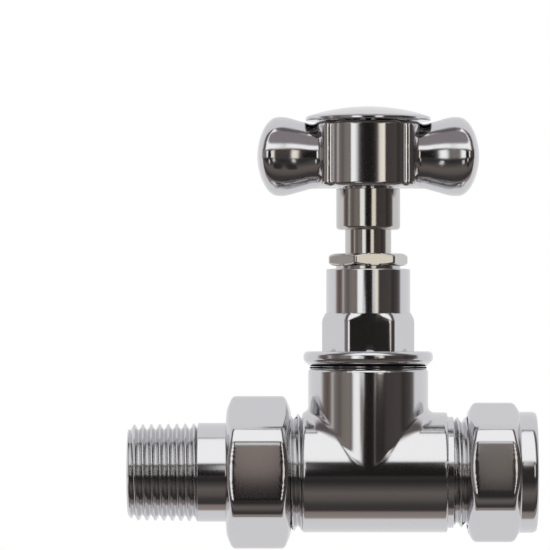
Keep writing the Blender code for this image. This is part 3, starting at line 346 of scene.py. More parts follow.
def bar(name, radius, start, end, steps=48):
    """Round bar between two points."""
    start = Vector(start)
    end = Vector(end)
    bpy.ops.object.select_all(action="DESELECT")
    bpy.ops.mesh.primitive_cylinder_add(
        vertices=steps, radius=radius, depth=(end - start).length, location=0.5 * (start + end),
        rotation=(end - start).to_track_quat("Z", "Y").to_euler(),
    )
    return settled(name)


def applied(obj, kind, **values):
    """Add a modifier with the given values and work it in at once."""
    activate(obj)
    modifier = obj.modifiers.new(kind, kind)
    for name, value in values.items():
        setattr(modifier, name, value)
    bpy.ops.object.modifier_apply(modifier=modifier.name)
    return obj


def combine(obj, tool, operation):
    """Exact Boolean, worked in at once; the tool goes."""
    applied(obj, "BOOLEAN", operation=operation, object=tool, solver="EXACT")
    bpy.data.objects.remove(tool, do_unlink=True)
    return obj


def joined(obj, other):
    """Put the mesh of one object into another."""
    activate(obj)
    other.select_set(True)
    bpy.ops.object.join()
    return obj


def cut_round(a, b, radius):
    """Both distances kept, with a round outer edge."""
    beyond = np.hypot(np.maximum(radius + a, 0.0), np.maximum(radius + b, 0.0))
    return np.minimum(-radius, np.maximum(a, b)) + beyond


def join_round(a, b, cosine, radius):
    """Either distance kept, with a rolling-ball fillet; cosine is that between the two surface normals."""
    a_off = a - radius
    b_off = b - radius
    spread = np.maximum(1.0 - cosine ** 2, 1e-4)
    reach = np.sqrt(np.maximum(a_off ** 2 + b_off ** 2 - 2.0 * cosine * a_off * b_off, 0.0) / spread)
    inside = (a_off - cosine * b_off < 0.0) & (b_off - cosine * a_off < 0.0) & (cosine < 0.999)
    return np.where(inside, radius - reach, np.minimum(a, b))


def gradient(field, places, step=0.01 * MM):
    """Slope of a field at each place."""
    slopes = np.zeros_like(places)
    for axis in range(3):
        offset = np.zeros(3)
        offset[axis] = step
        slopes[:, axis] = (field(places + offset) - field(places - offset)) / (2.0 * step)
    return slopes


def snapped(obj, field, rounds=8):
    """Move every vertex onto the surface where the field is nought."""
    places = points_of(obj)
    for _ in range(rounds):
        slope = gradient(field, places)
        size = np.maximum(np.sum(slope ** 2, axis=1), 0.05)
        step = np.clip(field(places) / size, -0.8 * MM, 0.8 * MM)
        places = places - slope * step[:, None]
    move_points(obj, places)
    return obj


def grown(obj, field, cell):
    """Even skin of small cells over a rough shape, then onto the field, twice over."""
    for size in (1.6 * cell, cell):
        snapped(applied(obj, "REMESH", mode="VOXEL", voxel_size=size), field)
    return obj


def softened(obj, field, centre, outside):
    """Move the outer vertices of a turned ring along rays from its middle onto the field."""
    places = points_of(obj)
    radius = np.hypot(places[:, 0], places[:, 1])
    chosen = outside(radius, places[:, 2])
    unit = places[chosen, :2] / radius[chosen, None]
    start = np.column_stack([unit * centre[0], np.full(len(unit), centre[1])])
    ray = places[chosen] - start
    low = np.zeros(len(ray))
    high = np.full(len(ray), 1.6)
    for _ in range(40):
        middle = 0.5 * (low + high)
        beyond = field(start + ray * middle[:, None]) > 0.0
        high = np.where(beyond, middle, high)
        low = np.where(beyond, low, middle)
    places[chosen] = start + ray * low[:, None]
    move_points(obj, places)
    return obj


def hexagon_field(places, flats, corner, turn):
    """Distance from a hexagon with rounded corners, upright, with a flat towards -Y when turn is nought."""
    bearing = np.arctan2(places[:, 1], places[:, 0]) - turn
    radius = np.hypot(places[:, 0], places[:, 1])
    sector = np.mod(bearing + math.pi / 2.0, math.pi / 3.0)
    near = np.minimum(sector, math.pi / 3.0 - sector)
    across = radius * np.cos(near) - flats
    beside = radius * np.cos(math.pi / 3.0 - near) - flats
    across_off = across + corner
    beside_off = beside + corner
    reach = np.sqrt(np.maximum(across_off ** 2 + beside_off ** 2 - across_off * beside_off, 0.0) / 0.75)
    rounding = (across_off - 0.5 * beside_off > 0.0) & (beside_off - 0.5 * across_off > 0.0)
    return np.where(rounding, reach - corner, across)


THREAD_FORM = (             # share of the pitch and of the depth, from one crest to the next
    (0.0, 0.0), (0.055, 0.01), (0.1, 0.06), (0.14, 0.16), (0.27, 0.52), (0.4, 0.87), (0.44, 0.95), (0.48, 0.99),
    (0.52, 0.99), (0.56, 0.95), (0.6, 0.87), (0.73, 0.52), (0.86, 0.16), (0.9, 0.06), (0.945, 0.01),
)


def threaded(name, before, after, crest, depth, pitch, limits, taper=0.0):
    """Turned piece with a cut thread between two outlines, kept within (height, radius) limits."""
    top = limits[0][0]
    bottom = limits[-1][0]
    phases = [share for share, _ in THREAD_FORM]
    depths = [deep for _, deep in THREAD_FORM]
    turns = math.ceil((top - bottom) / pitch) + 1
    rows = [turn + share for turn in range(turns) for share in phases] + [turns]
    count = len(before) + len(rows) + len(after)
    bpy.ops.object.select_all(action="DESELECT")
    bpy.ops.mesh.primitive_grid_add(x_subdivisions=THREAD_STEPS, y_subdivisions=count - 1, size=MM)
    obj = bpy.context.object
    obj.name = name
    places = points_of(obj)
    column = np.rint((places[:, 0] / MM + 0.5) * THREAD_STEPS)
    row = np.rint((places[:, 1] / MM + 0.5) * (count - 1)).astype(int)
    bearing = 2.0 * math.pi * column / THREAD_STEPS
    radius = np.zeros(len(places))
    height = np.zeros(len(places))
    for index, point in enumerate(before):
        radius[row == index], height[row == index] = point
    for index, point in enumerate(after):
        chosen = row == len(before) + len(rows) + index
        radius[chosen], height[chosen] = point
    for index, share in enumerate(rows):
        chosen = row == len(before) + index
        rise = pitch * bearing[chosen] / (2.0 * math.pi)
        level = np.clip(top + rise - pitch * share, bottom, top)
        phase = (top + rise - level) / pitch
        cut = crest - depth * np.interp(phase, phases, depths, period=1.0) - taper * (top - level)
        cap = np.interp(-level, [-spot for spot, _ in limits], [reach for _, reach in limits])
        radius[chosen] = np.minimum(cut, cap)
        height[chosen] = level
    move_points(obj, np.column_stack([radius * np.cos(bearing), radius * np.sin(bearing), height]))
    bpy.ops.object.mode_set(mode="EDIT")
    weld()
    return obj


def mark_groove_shade(obj, start, end, crest, depth, taper=0.0):
    """Note how deep each point of a thread along the pipe line lies, as the mask of the painted shade in its roots:
    nought at the crest, one at the root.
    """
    places = points_of(obj)
    deep = (crest - taper * (end - places[:, 0]) - np.hypot(places[:, 1], places[:, 2])) / depth
    inside = (places[:, 0] > start) & (places[:, 0] < end) & (deep < 1.25)
    found = obj.data.attributes.get("groove") or obj.data.attributes.new("groove", "FLOAT", "POINT")
    before = np.zeros(len(places), dtype=np.float32)
    found.data.foreach_get("value", before)
    found.data.foreach_set("value", np.where(inside, np.clip(deep, 0.0, 1.0), before).astype(np.float32))


def cylinder_x(places, radius):
    """Distance from a bar along the pipe line."""
    return np.hypot(places[:, 1], places[:, 2]) - radius


def cylinder_z(places, radius):
    """Distance from a bar along the spindle axis."""
    return np.hypot(places[:, 0], places[:, 1]) - radius


def smooth(obj, degrees=35.0):
    """Smooth shading with sharp edges kept, and normals that follow the larger faces."""
    activate(obj)
    bpy.ops.object.shade_smooth_by_angle(angle=math.radians(degrees))
    return applied(obj, "WEIGHTED_NORMAL", keep_sharp=True)


def place(obj, node, material):
    """Put a finished piece in for a CAD solid."""
    obj.data.materials.clear()
    obj.data.materials.append(material)
    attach(obj, frame["nodes"][node]["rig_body"])
    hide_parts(node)
    return obj


def new_material(name, base, metallic, roughness):
    """Principled material with plain values."""
    material = bpy.data.materials.get(name)
    if material is None:
        material = bpy.data.materials.new(name)
        material.use_nodes = True
        shader = material.node_tree.nodes["Principled BSDF"]
        shader.inputs["Base Color"].default_value = (*base, 1.0)
        shader.inputs["Metallic"].default_value = metallic
        shader.inputs["Roughness"].default_value = roughness
    return material


def plate_group():
    """Shader group of both plates: fine unevenness, and painted shade that darkens the thread roots, which see only
    the flanks, and other marked recesses.
    """
    name = "plate_finish"
    if name in bpy.data.node_groups:
        return bpy.data.node_groups[name]
    group = bpy.data.node_groups.new(name, "ShaderNodeTree")
    for label, kind in (("Plate", "Color"), ("Root Shade", "Color"), ("Depth", "Float"), ("Scale", "Vector"),
                        ("Detail", "Float"), ("Strength", "Float"), ("Distance", "Float")):
        group.interface.new_socket(label, in_out="INPUT", socket_type="NodeSocket" + kind)
    for label, kind in (("Colour", "Color"), ("Normal", "Vector")):
        group.interface.new_socket(label, in_out="OUTPUT", socket_type="NodeSocket" + kind)
    given = group.nodes.new("NodeGroupInput").outputs
    result = group.nodes.new("NodeGroupOutput").inputs
    wires = Wires(group)
    # Painted shade: the plate colour turns to the root shade colour where the groove mask is deep.
    depth = wires.step(given["Depth"], 0.1, 0.7)
    wires.feed(result["Colour"], wires.mix(depth, given["Plate"], given["Root Shade"]))
    where = group.nodes.new("ShaderNodeTexCoord")
    stretch = group.nodes.new("ShaderNodeMapping")
    noise = group.nodes.new("ShaderNodeTexNoise")
    bump = group.nodes.new("ShaderNodeBump")
    noise.inputs["Scale"].default_value = 1.0
    wires.feed(stretch.inputs["Vector"], where.outputs["Object"])
    wires.feed(stretch.inputs["Scale"], given["Scale"])
    wires.feed(noise.inputs["Vector"], stretch.outputs["Vector"])
    wires.feed(noise.inputs["Detail"], given["Detail"])
    wires.feed(bump.inputs["Height"], noise.outputs["Fac"])
    wires.feed(bump.inputs["Strength"], given["Strength"])
    wires.feed(bump.inputs["Distance"], given["Distance"])
    wires.feed(result["Normal"], bump.outputs["Normal"])
    return group


def plate(name, tint, roughness, scale, detail, strength, distance):
    """Plated metal; scale, detail, strength and distance are those of its fine unevenness."""
    if name in bpy.data.materials:
        return bpy.data.materials[name]
    material = new_material(name, tint, 1.0, roughness)
    tree = material.node_tree
    finish = tree.nodes.new("ShaderNodeGroup")
    finish.node_tree = plate_group()
    finish.inputs["Plate"].default_value = (*tint, 1.0)
    finish.inputs["Root Shade"].default_value = (*bpy.context.scene.valve_finishes.root, 1.0)
    finish.inputs["Scale"].default_value = scale
    finish.inputs["Detail"].default_value = detail
    finish.inputs["Strength"].default_value = strength
    finish.inputs["Distance"].default_value = distance
    # The groove attribute is the mask of the painted shade in thread roots and under the gland nut.
    groove = tree.nodes.new("ShaderNodeAttribute")
    groove.attribute_name = "groove"
    shader = tree.nodes["Principled BSDF"]
    tree.links.new(groove.outputs["Fac"], finish.inputs["Depth"])
    tree.links.new(finish.outputs["Colour"], shader.inputs["Base Color"])
    tree.links.new(finish.outputs["Normal"], shader.inputs["Normal"])
    return material


def chrome():
    """Bright plate with the faint unevenness of polished castings."""
    finish = bpy.context.scene.valve_finishes
    return plate("chrome_plate", finish.chrome, finish.chrome_rough, (260.0, 260.0, 260.0), 2.0, 0.05, 0.0004)


def nickel():
    """Duller plate with fine turning lines."""
    finish = bpy.context.scene.valve_finishes
    return plate("turned_nickel", finish.nickel, finish.nickel_rough, (60.0, 60.0, 5200.0), 3.0, 0.25, 0.00005)


CHAMBER = (                 # radius and height of the room under the bonnet, in millimetres
    (0.0, 23.0), (10.2, 23.0), (10.2, 15.65), (9.3, 15.65), (9.3, 1.5), (6.3, 1.5), (6.3, 2.5), (4.8, 2.5),
    (4.8, -5.0), (0.0, -5.0),
)
PIPE_SOCKET = (             # radius and place from the right end, in millimetres
    (0.0, 0.3), (8.98, 0.3), (7.6, -2.15), (7.6, -13.0), (6.0, -13.0), (6.0, -18.0), (0.0, -18.0),
)
TAIL_SOCKET = (             # radius and place from the left end, in millimetres
    (0.0, 10.7), (5.5, 10.7), (5.5, 6.7), (8.9, 6.7), (8.9, -0.3), (0.0, -0.3),
)

WATERWAYS = (               # radius, and the (x, z) places of both ends, in millimetres
    ("inlet", 4.4, ((13.5, -5.0), (-4.0, -5.0))),
    ("outlet", 4.2, ((-15.5, 2.25), (-5.0, 7.5))),
)


def from_end(points, end=0.0):
    """Outline in metres, from points in millimetres measured from an end."""
    return [(radius * MM, end + place * MM) for radius, place in points]


class VALVE_OT_body(bpy.types.Operator):
    """Model the T shaped body with its threads, seat and waterways"""

    bl_idname = "valve.body"
    bl_label = "Valve body"

    def execute(self, context):
        size = context.scene.valve_body
        low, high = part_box("valve_body")
        left_end = low.x
        right_end = high.x
        middle = 0.5 * (size.run_right - size.run_left)
        half = 0.5 * (size.run_right + size.run_left)

        def field(places):
            run = cut_round(cylinder_x(places, size.radius), np.abs(places[:, 0] - middle) - half, size.edge)
            tower_side = cylinder_z(places, size.radius)
            tower = cut_round(tower_side, places[:, 2] - size.tower, size.edge)
            across = np.abs(places[:, 1])
            run_r = np.maximum(np.hypot(places[:, 1], places[:, 2]), MM)
            tower_r = np.maximum(np.hypot(places[:, 0], places[:, 1]), MM)
            cosine = np.clip(across ** 2 / (run_r * tower_r), 0.0, 1.0)
            fillet = size.valley + size.valley_soft * np.clip(across / size.radius, 0.0, 1.0) ** 2
            return np.where(places[:, 2] > 0.0, join_round(run, tower, cosine, fillet), run)

        run = along_x(turned("run", drum(size.radius, -size.run_left, size.run_right), steps=64))
        tower = turned("tower", drum(size.radius, size.tower, 0.0), steps=64)
        body = grown(joined(run, tower), field, 0.36 * MM)

        bite = 2.0 * MM             # how far the spigots and the collar reach into the run
        wall = 0.3 * MM             # from the thread's root to the spigot's core
        lead = 1.1 * MM             # length of the bevel at a thread's start
        root = size.right_thread - size.thread_depth
        core = root - wall
        start = size.run_right + size.collar_length
        spigot = threaded("right_spigot", [(0.0, right_end), (core, right_end)], [
            (core, start), (core, start - bite), (0.0, start - bite),
        ], size.right_thread, size.thread_depth, size.pitch, (
            (right_end, root - 0.1 * MM), (right_end - lead, size.right_thread),
            (start + 0.4 * MM, size.right_thread), (start, root),
        ))
        combine(body, along_x(spigot), "UNION")
        root = size.left_thread - size.thread_depth
        core = root - wall
        shoulder = -size.run_left
        spigot = threaded("left_spigot", [
            (0.0, shoulder + bite), (core, shoulder + bite), (core, shoulder),
        ], [(core, left_end), (0.0, left_end)], size.left_thread, size.thread_depth, size.pitch, (
            (shoulder, size.left_thread), (left_end + lead, size.left_thread), (left_end, root - 0.1 * MM),
        ))
        combine(body, along_x(spigot), "UNION")
        collar = along_x(turned("collar", rounded([
            (0.0, size.run_right - bite), (size.collar, size.run_right - bite),
            (size.collar, start, 0.15 * MM), (0.0, start),
        ])))
        combine(body, collar, "UNION")

        combine(body, turned("chamber", from_end(CHAMBER), steps=64), "DIFFERENCE")
        combine(body, along_x(turned("socket", from_end(PIPE_SOCKET, right_end), steps=96)), "DIFFERENCE")
        combine(body, along_x(turned("tail_socket", from_end(TAIL_SOCKET, left_end), steps=64)), "DIFFERENCE")
        for name, radius, ends in WATERWAYS:
            ends = [(x * MM, 0.0, z * MM) for x, z in ends]
            combine(body, bar(name, radius * MM, *ends), "DIFFERENCE")
        body.name = "valve_body_look"
        # Masks for the painted shade in both threads' roots.
        mark_groove_shade(body, start, right_end, size.right_thread, size.thread_depth)
        mark_groove_shade(body, left_end, -size.run_left, size.left_thread, size.thread_depth)
        place(smooth(body, 40.0), "valve_body", chrome())
        return {"FINISHED"}


class VALVE_OT_tail(bpy.types.Operator):
    """Model the union tail with its taper thread"""

    bl_idname = "valve.tail"
    bl_label = "Union tail"

    def execute(self, context):
        size = context.scene.valve_tail
        low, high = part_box("tail_pipe")
        flange = high.x - 6.0 * MM
        back = flange - 2.5 * MM
        thread_end = low.x + size.thread_length
        taper = 1.0 / 60.0
        root = size.thread - size.depth
        upper = rounded([
            (size.bore, low.x), (size.bore, high.x, 0.3 * MM), (size.nose, high.x, 0.5 * MM),
            (size.nose, flange + 4.3 * MM), (6.9 * MM, flange + 4.3 * MM), (6.9 * MM, flange + 1.7 * MM),
            (size.nose, flange + 1.7 * MM), (size.nose, flange), (size.flange, flange, 0.2 * MM),
            (size.flange, back, 0.2 * MM), (size.shank, back), (size.shank, thread_end, 0.2 * MM),
            (root, thread_end),
        ])[1:]
        tip = size.thread - taper * size.thread_length
        tail = threaded("tail", upper[:-1], [
            (tip - 1.3 * MM, low.x), (size.bore + 0.3 * MM, low.x), (size.bore, low.x + 0.3 * MM), upper[0],
        ], size.thread, size.depth, 1.814 * MM, (
            (thread_end, size.shank), (low.x + 1.1 * MM, size.thread), (low.x, tip - 1.1 * MM),
        ), taper)
        key = prism("key", 0.5 * size.key, low.x - 0.3 * MM, low.x + 9.0 * MM, 0.0)
        combine(tail, key, "DIFFERENCE")
        tail = along_x(tail)
        tail.name = "tail_pipe_look"
        # Mask for the painted shade in the thread's roots.
        mark_groove_shade(tail, low.x, thread_end, size.thread, size.depth, taper)
        place(smooth(tail, 40.0), "tail_pipe", chrome())
        return {"FINISHED"}


def nut_skin(bore, low, high):
    """Picks a nut's outer skin: what lies beyond its bore, and both end faces."""
    return lambda radius, height: (
        (radius > bore + MERGE) | (np.abs(height - high) < MERGE) | (np.abs(height - low) < MERGE)
    )


class VALVE_OT_union_nut(bpy.types.Operator):
    """Model the union nut with its soft corners"""

    bl_idname = "valve.union_nut"
    bl_label = "Union nut"

    def execute(self, context):
        size = context.scene.valve_nuts
        low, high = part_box("union_nut")
        bore = 12.8 * MM
        way = 10.88 * MM
        wall = low.x + 3.0 * MM
        face = bore + 0.7 * MM
        slope = size.union_chamfer / (size.union_flat / math.cos(math.pi / 6.0) - face)
        steep = math.hypot(1.0, slope)

        def field(places):
            radius = np.hypot(places[:, 0], places[:, 1])
            side = hexagon_field(places, size.union_flat, size.union_corner, size.union_turn)
            front = (places[:, 2] - high.x + (radius - face) * slope) / steep
            rear = (low.x - places[:, 2] + (radius - face) * slope) / steep
            shape = cut_round(side, np.maximum(front, rear), size.edge)
            return cut_round(shape, np.maximum(places[:, 2] - high.x, low.x - places[:, 2]), 0.3 * MM)

        top = size.union_flat + 1.2 * MM
        outline = divided([
            (bore, high.x), (face, high.x), (top, high.x - size.union_chamfer), (top, low.x + size.union_chamfer),
            (face, low.x), (way, low.x), (way, wall), (bore, wall),
        ], 0.3 * MM)
        nut = turned("union_nut_look", outline, ring=True, steps=FINE)
        softened(nut, field, (bore + 0.5 * MM, 0.5 * (low.x + high.x)), nut_skin(bore, low.x, high.x))
        place(smooth(along_x(nut)), "union_nut", chrome())
        return {"FINISHED"}


class VALVE_OT_compression_nut(bpy.types.Operator):
    """Model the compression nut with its plain round end"""

    bl_idname = "valve.compression_nut"
    bl_label = "Compression nut"

    def execute(self, context):
        size = context.scene.valve_nuts
        low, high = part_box("compression_nut")
        bore = 12.07 * MM
        face = bore + 0.75 * MM
        end_start = high.x - 3.7 * MM
        slope = 0.62
        steep = math.hypot(1.0, slope)
        round_edge = 0.9 * MM       # rounding of the plain end
        mouth = 7.75 * MM           # hole for the pipe
        seat = 9.15 * MM            # room for the olive
        seat_start = 29.6 * MM

        def field(places):
            radius = np.hypot(places[:, 0], places[:, 1])
            side = hexagon_field(places, size.press_flat, size.press_corner, size.press_turn)
            front = (low.x - places[:, 2] + (radius - face) * slope) / steep
            rear = (places[:, 2] - end_start + (radius - size.press_end) * slope) / steep
            hexagon = cut_round(cut_round(side, front, size.edge), rear, size.edge)
            barrel = cut_round(radius - size.press_end, places[:, 2] - high.x, round_edge)
            shape = join_round(hexagon, barrel, np.full(len(radius), 0.53), 0.3 * MM)
            return cut_round(shape, low.x - places[:, 2], 0.3 * MM)

        top = size.press_flat + 1.2 * MM
        outline = divided([
            (bore, low.x), (face, low.x), (top, low.x + 1.2 * MM), (top, end_start - 1.0 * MM),
            (size.press_end, end_start), (size.press_end, high.x - round_edge),
            (size.press_end - round_edge, high.x), (mouth, high.x),
        ], 0.3 * MM)
        last = outline.index((mouth, high.x))
        outline = outline[:last + 1] + [
            (mouth, 33.889 * MM), (seat, 31.4 * MM), (seat, seat_start), (bore, seat_start)
        ]
        nut = turned("compression_nut_look", outline, ring=True, steps=FINE)
        softened(nut, field, (bore + 0.5 * MM, 0.5 * (low.x + end_start)), nut_skin(bore, low.x, high.x))
        place(smooth(along_x(nut)), "compression_nut", chrome())
        return {"FINISHED"}


class VALVE_OT_bonnet(bpy.types.Operator):
    """Model the bonnet and the gland nut"""

    bl_idname = "valve.bonnet"
    bl_label = "Bonnet and gland nut"

    def execute(self, context):
        size = context.scene.valve_bonnet
        low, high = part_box("bonnet")
        base = 22.7 * MM
        shelf = base + size.flange_height
        waist = shelf + size.hexagon_height
        core = 8.5 * MM             # under the hexagon's flats
        spigot = 9.9 * MM           # threaded part inside the body
        room = 6.3 * MM             # inside that spigot
        ceiling = 31.0 * MM
        hole = 5.25 * MM            # for the stem
        pocket = 7.2 * MM           # for packing and gland nut
        pocket_floor = high.z - 7.5 * MM
        cone_slope = 1.15
        bonnet = turned("bonnet_look", rounded([
            (size.barrel, high.z, 0.3 * MM), (size.barrel, waist - 0.2 * MM), (core, waist - 0.2 * MM), (core, shelf),
            (size.flange, shelf, 1.6 * MM), (size.flange, base + 1.25 * MM, 1.0 * MM), (size.flange - 1.5 * MM, base),
            (spigot, base), (spigot, low.z), (room, low.z), (room, ceiling), (hole, ceiling), (hole, pocket_floor),
            (pocket, pocket_floor), (pocket, high.z),
        ], 8), ring=True)

        def field(places):
            radius = np.hypot(places[:, 0], places[:, 1])
            side = hexagon_field(places, size.hexagon, size.hexagon_corner, size.hexagon_turn)
            cone = (places[:, 2] - waist + (radius - size.barrel) * cone_slope) / math.hypot(1.0, cone_slope)
            return cut_round(side, cone, 0.8 * MM)

        flats = turned("flats", divided([
            (8.2 * MM, shelf - 0.2 * MM), (10.4 * MM, shelf - 0.2 * MM), (10.4 * MM, waist - 0.6 * MM),
            (8.7 * MM, waist + 0.3 * MM), (8.2 * MM, waist + 0.3 * MM),
        ], 0.35 * MM), ring=True, steps=180)
        softened(flats, field, (8.4 * MM, 0.5 * (shelf + waist)), lambda radius, height: radius > 8.8 * MM)
        combine(bonnet, flats, "UNION")
        place(smooth(bonnet, 40.0), "bonnet", chrome())

        low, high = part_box("gland_nut")
        foot = high.z - 2.7 * MM
        neck = 6.9 * MM             # threaded part inside the bonnet
        slope = 0.5
        steep = math.hypot(1.0, slope)

        def gland_field(places):
            radius = np.hypot(places[:, 0], places[:, 1])
            side = hexagon_field(places, size.gland, 0.5 * MM, size.gland_turn)
            top = (places[:, 2] - high.z + (radius - size.gland) * slope) / steep
            under = (foot - places[:, 2] + (radius - size.gland) * slope) / steep
            shape = cut_round(side, np.maximum(top, under), 0.2 * MM)
            return cut_round(shape, np.maximum(places[:, 2] - high.z, foot - places[:, 2]), 0.2 * MM)

        outline = divided([
            (7.0 * MM, foot), (7.6 * MM, foot), (8.6 * MM, foot + 0.5 * MM), (8.6 * MM, high.z - 0.5 * MM),
            (7.6 * MM, high.z), (hole, high.z),
        ], 0.2 * MM)
        last = outline.index((hole, high.z))
        outline = outline[:last + 1] + [(hole, low.z), (neck, low.z), (neck, foot)]
        gland = turned("gland_nut_look", outline, ring=True, steps=240)
        softened(gland, gland_field, (6.95 * MM, 0.5 * (foot + high.z)), lambda radius, height: (
            (radius > neck + MERGE) | ((np.abs(height - high.z) < MERGE) & (radius > 5.3 * MM))
        ))
        # Painted shade: the neck just under the gland nut is marked fully dark, where the nut shades it.
        places = points_of(gland)
        reach = np.hypot(places[:, 0], places[:, 1])
        dark = (places[:, 2] < foot + MERGE) & (reach > 6.5 * MM) & (reach < 6.95 * MM)
        gland.data.attributes.new("groove", "FLOAT", "POINT").data.foreach_set("value", dark.astype(np.float32))
        place(smooth(gland), "gland_nut", nickel())
        return {"FINISHED"}


class VALVE_OT_spindle(bpy.types.Operator):
    """Model the stem and the sleeve under the handle"""

    bl_idname = "valve.spindle"
    bl_label = "Spindle and sleeve"

    def execute(self, context):
        stem_r = context.scene.valve_bonnet.stem
        sleeve_r = context.scene.valve_handle.sleeve
        low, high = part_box("spindle")
        shoulder = high.z - 10.5 * MM
        stem = turned("spindle_look", rounded([
            (0.0, shoulder), (stem_r, shoulder, 0.4 * MM), (stem_r, 30.7 * MM), (6.0 * MM, 30.7 * MM, 0.3 * MM),
            (6.0 * MM, low.z + 3.9 * MM, 0.3 * MM), (4.6 * MM, low.z + 3.9 * MM), (4.6 * MM, low.z + 1.6 * MM),
            (6.1 * MM, low.z + 1.6 * MM, 0.1 * MM), (6.1 * MM, low.z, 0.1 * MM), (0.0, low.z),
        ]), steps=96)
        half = 3.1 * MM
        square = block("square", (-half, -half, shoulder - 4.0 * MM), (half, half, high.z))
        applied(square, "BEVEL", width=SQUARE_CORNER, segments=4)
        combine(stem, square, "UNION")
        screw_hole = bar("screw_hole", 2.3 * MM, (0.0, 0.0, high.z - 4.6 * MM), (0.0, 0.0, high.z + MM))
        combine(stem, screw_hole, "DIFFERENCE")
        place(smooth(stem), "spindle", nickel())

        low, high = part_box("handle_bush")
        top = high.z - 6.9 * MM
        inside = shoulder + 0.3 * MM
        sleeve = turned("handle_bush_look", rounded([
            (0.0, high.z), (5.2 * MM, high.z, 0.3 * MM), (5.2 * MM, top), (sleeve_r, top, 0.15 * MM),
            (sleeve_r, low.z, 0.9 * MM), (5.25 * MM, low.z, 0.1 * MM), (5.25 * MM, inside), (0.0, inside),
        ], 8), steps=96)
        half = 3.4 * MM
        socket = block("socket", (-half, -half, inside - MM), (half, half, high.z + MM))
        combine(sleeve, socket, "DIFFERENCE")
        place(smooth(sleeve), "handle_bush", nickel())
        return {"FINISHED"}


ARM_UPRIGHT = (             # distance from the axis and half height, in millimetres
    (-6.0, 6.87), (0.0, 6.87), (5.0, 6.87), (9.5, 6.87), (12.2, 6.97), (13.6, 7.33), (15.2, 7.76), (16.5, 8.15),
    (17.8, 8.42), (18.8, 8.46), (19.8, 8.37), (20.6, 8.02), (21.4, 7.32), (22.1, 6.35), (22.8, 4.95), (23.35, 3.1),
    (23.65, 1.4), (23.7, 0.0), (23.65, -1.4),
)
ARM_LEVEL = (               # distance from the axis and half depth, in millimetres
    (-6.0, 6.87), (0.0, 6.87), (5.0, 6.87), (9.5, 6.87), (12.2, 6.88), (14.0, 6.95), (15.7, 7.15), (17.2, 7.52),
    (18.8, 8.05), (20.2, 8.45), (21.2, 8.55), (22.1, 8.3), (22.8, 7.5), (23.35, 5.8), (23.65, 3.4), (23.75, 0.0),
    (23.65, -3.4),
)


def smooth_line(knots):
    """Line through measured points, given in millimetres."""
    line = []
    for before, start, end, after in zip(knots, knots[1:], knots[2:], knots[3:]):
        for step in range(KNOT_STEPS):
            t = step / KNOT_STEPS
            line.append(tuple(
                0.5 * MM * (2.0 * b + (c - a) * t + (2.0 * a - 5.0 * b + 4.0 * c - d) * t ** 2
                            + (3.0 * b - a - 3.0 * c + d) * t ** 3)
                for a, b, c, d in zip(before, start, end, after)
            ))
    line.append((knots[-2][0] * MM, 0.0))
    return np.array(line)


def line_distance(places, line):
    """Signed distance from a line drawn with its inside on the right."""
    best = np.full(len(places), 1.0)
    sign = np.ones(len(places))
    for start, end in zip(line, line[1:]):
        edge = end - start
        part = np.clip(((places - start) @ edge) / max(edge @ edge, 1e-18), 0.0, 1.0)
        gap = places - start - part[:, None] * edge
        far = np.hypot(gap[:, 0], gap[:, 1])
        nearer = far < best
        side = edge[0] * gap[:, 1] - edge[1] * gap[:, 0]
        sign = np.where(nearer, np.where(side >= 0.0, 1.0, -1.0), sign)
        best = np.where(nearer, far, best)
    return best * sign


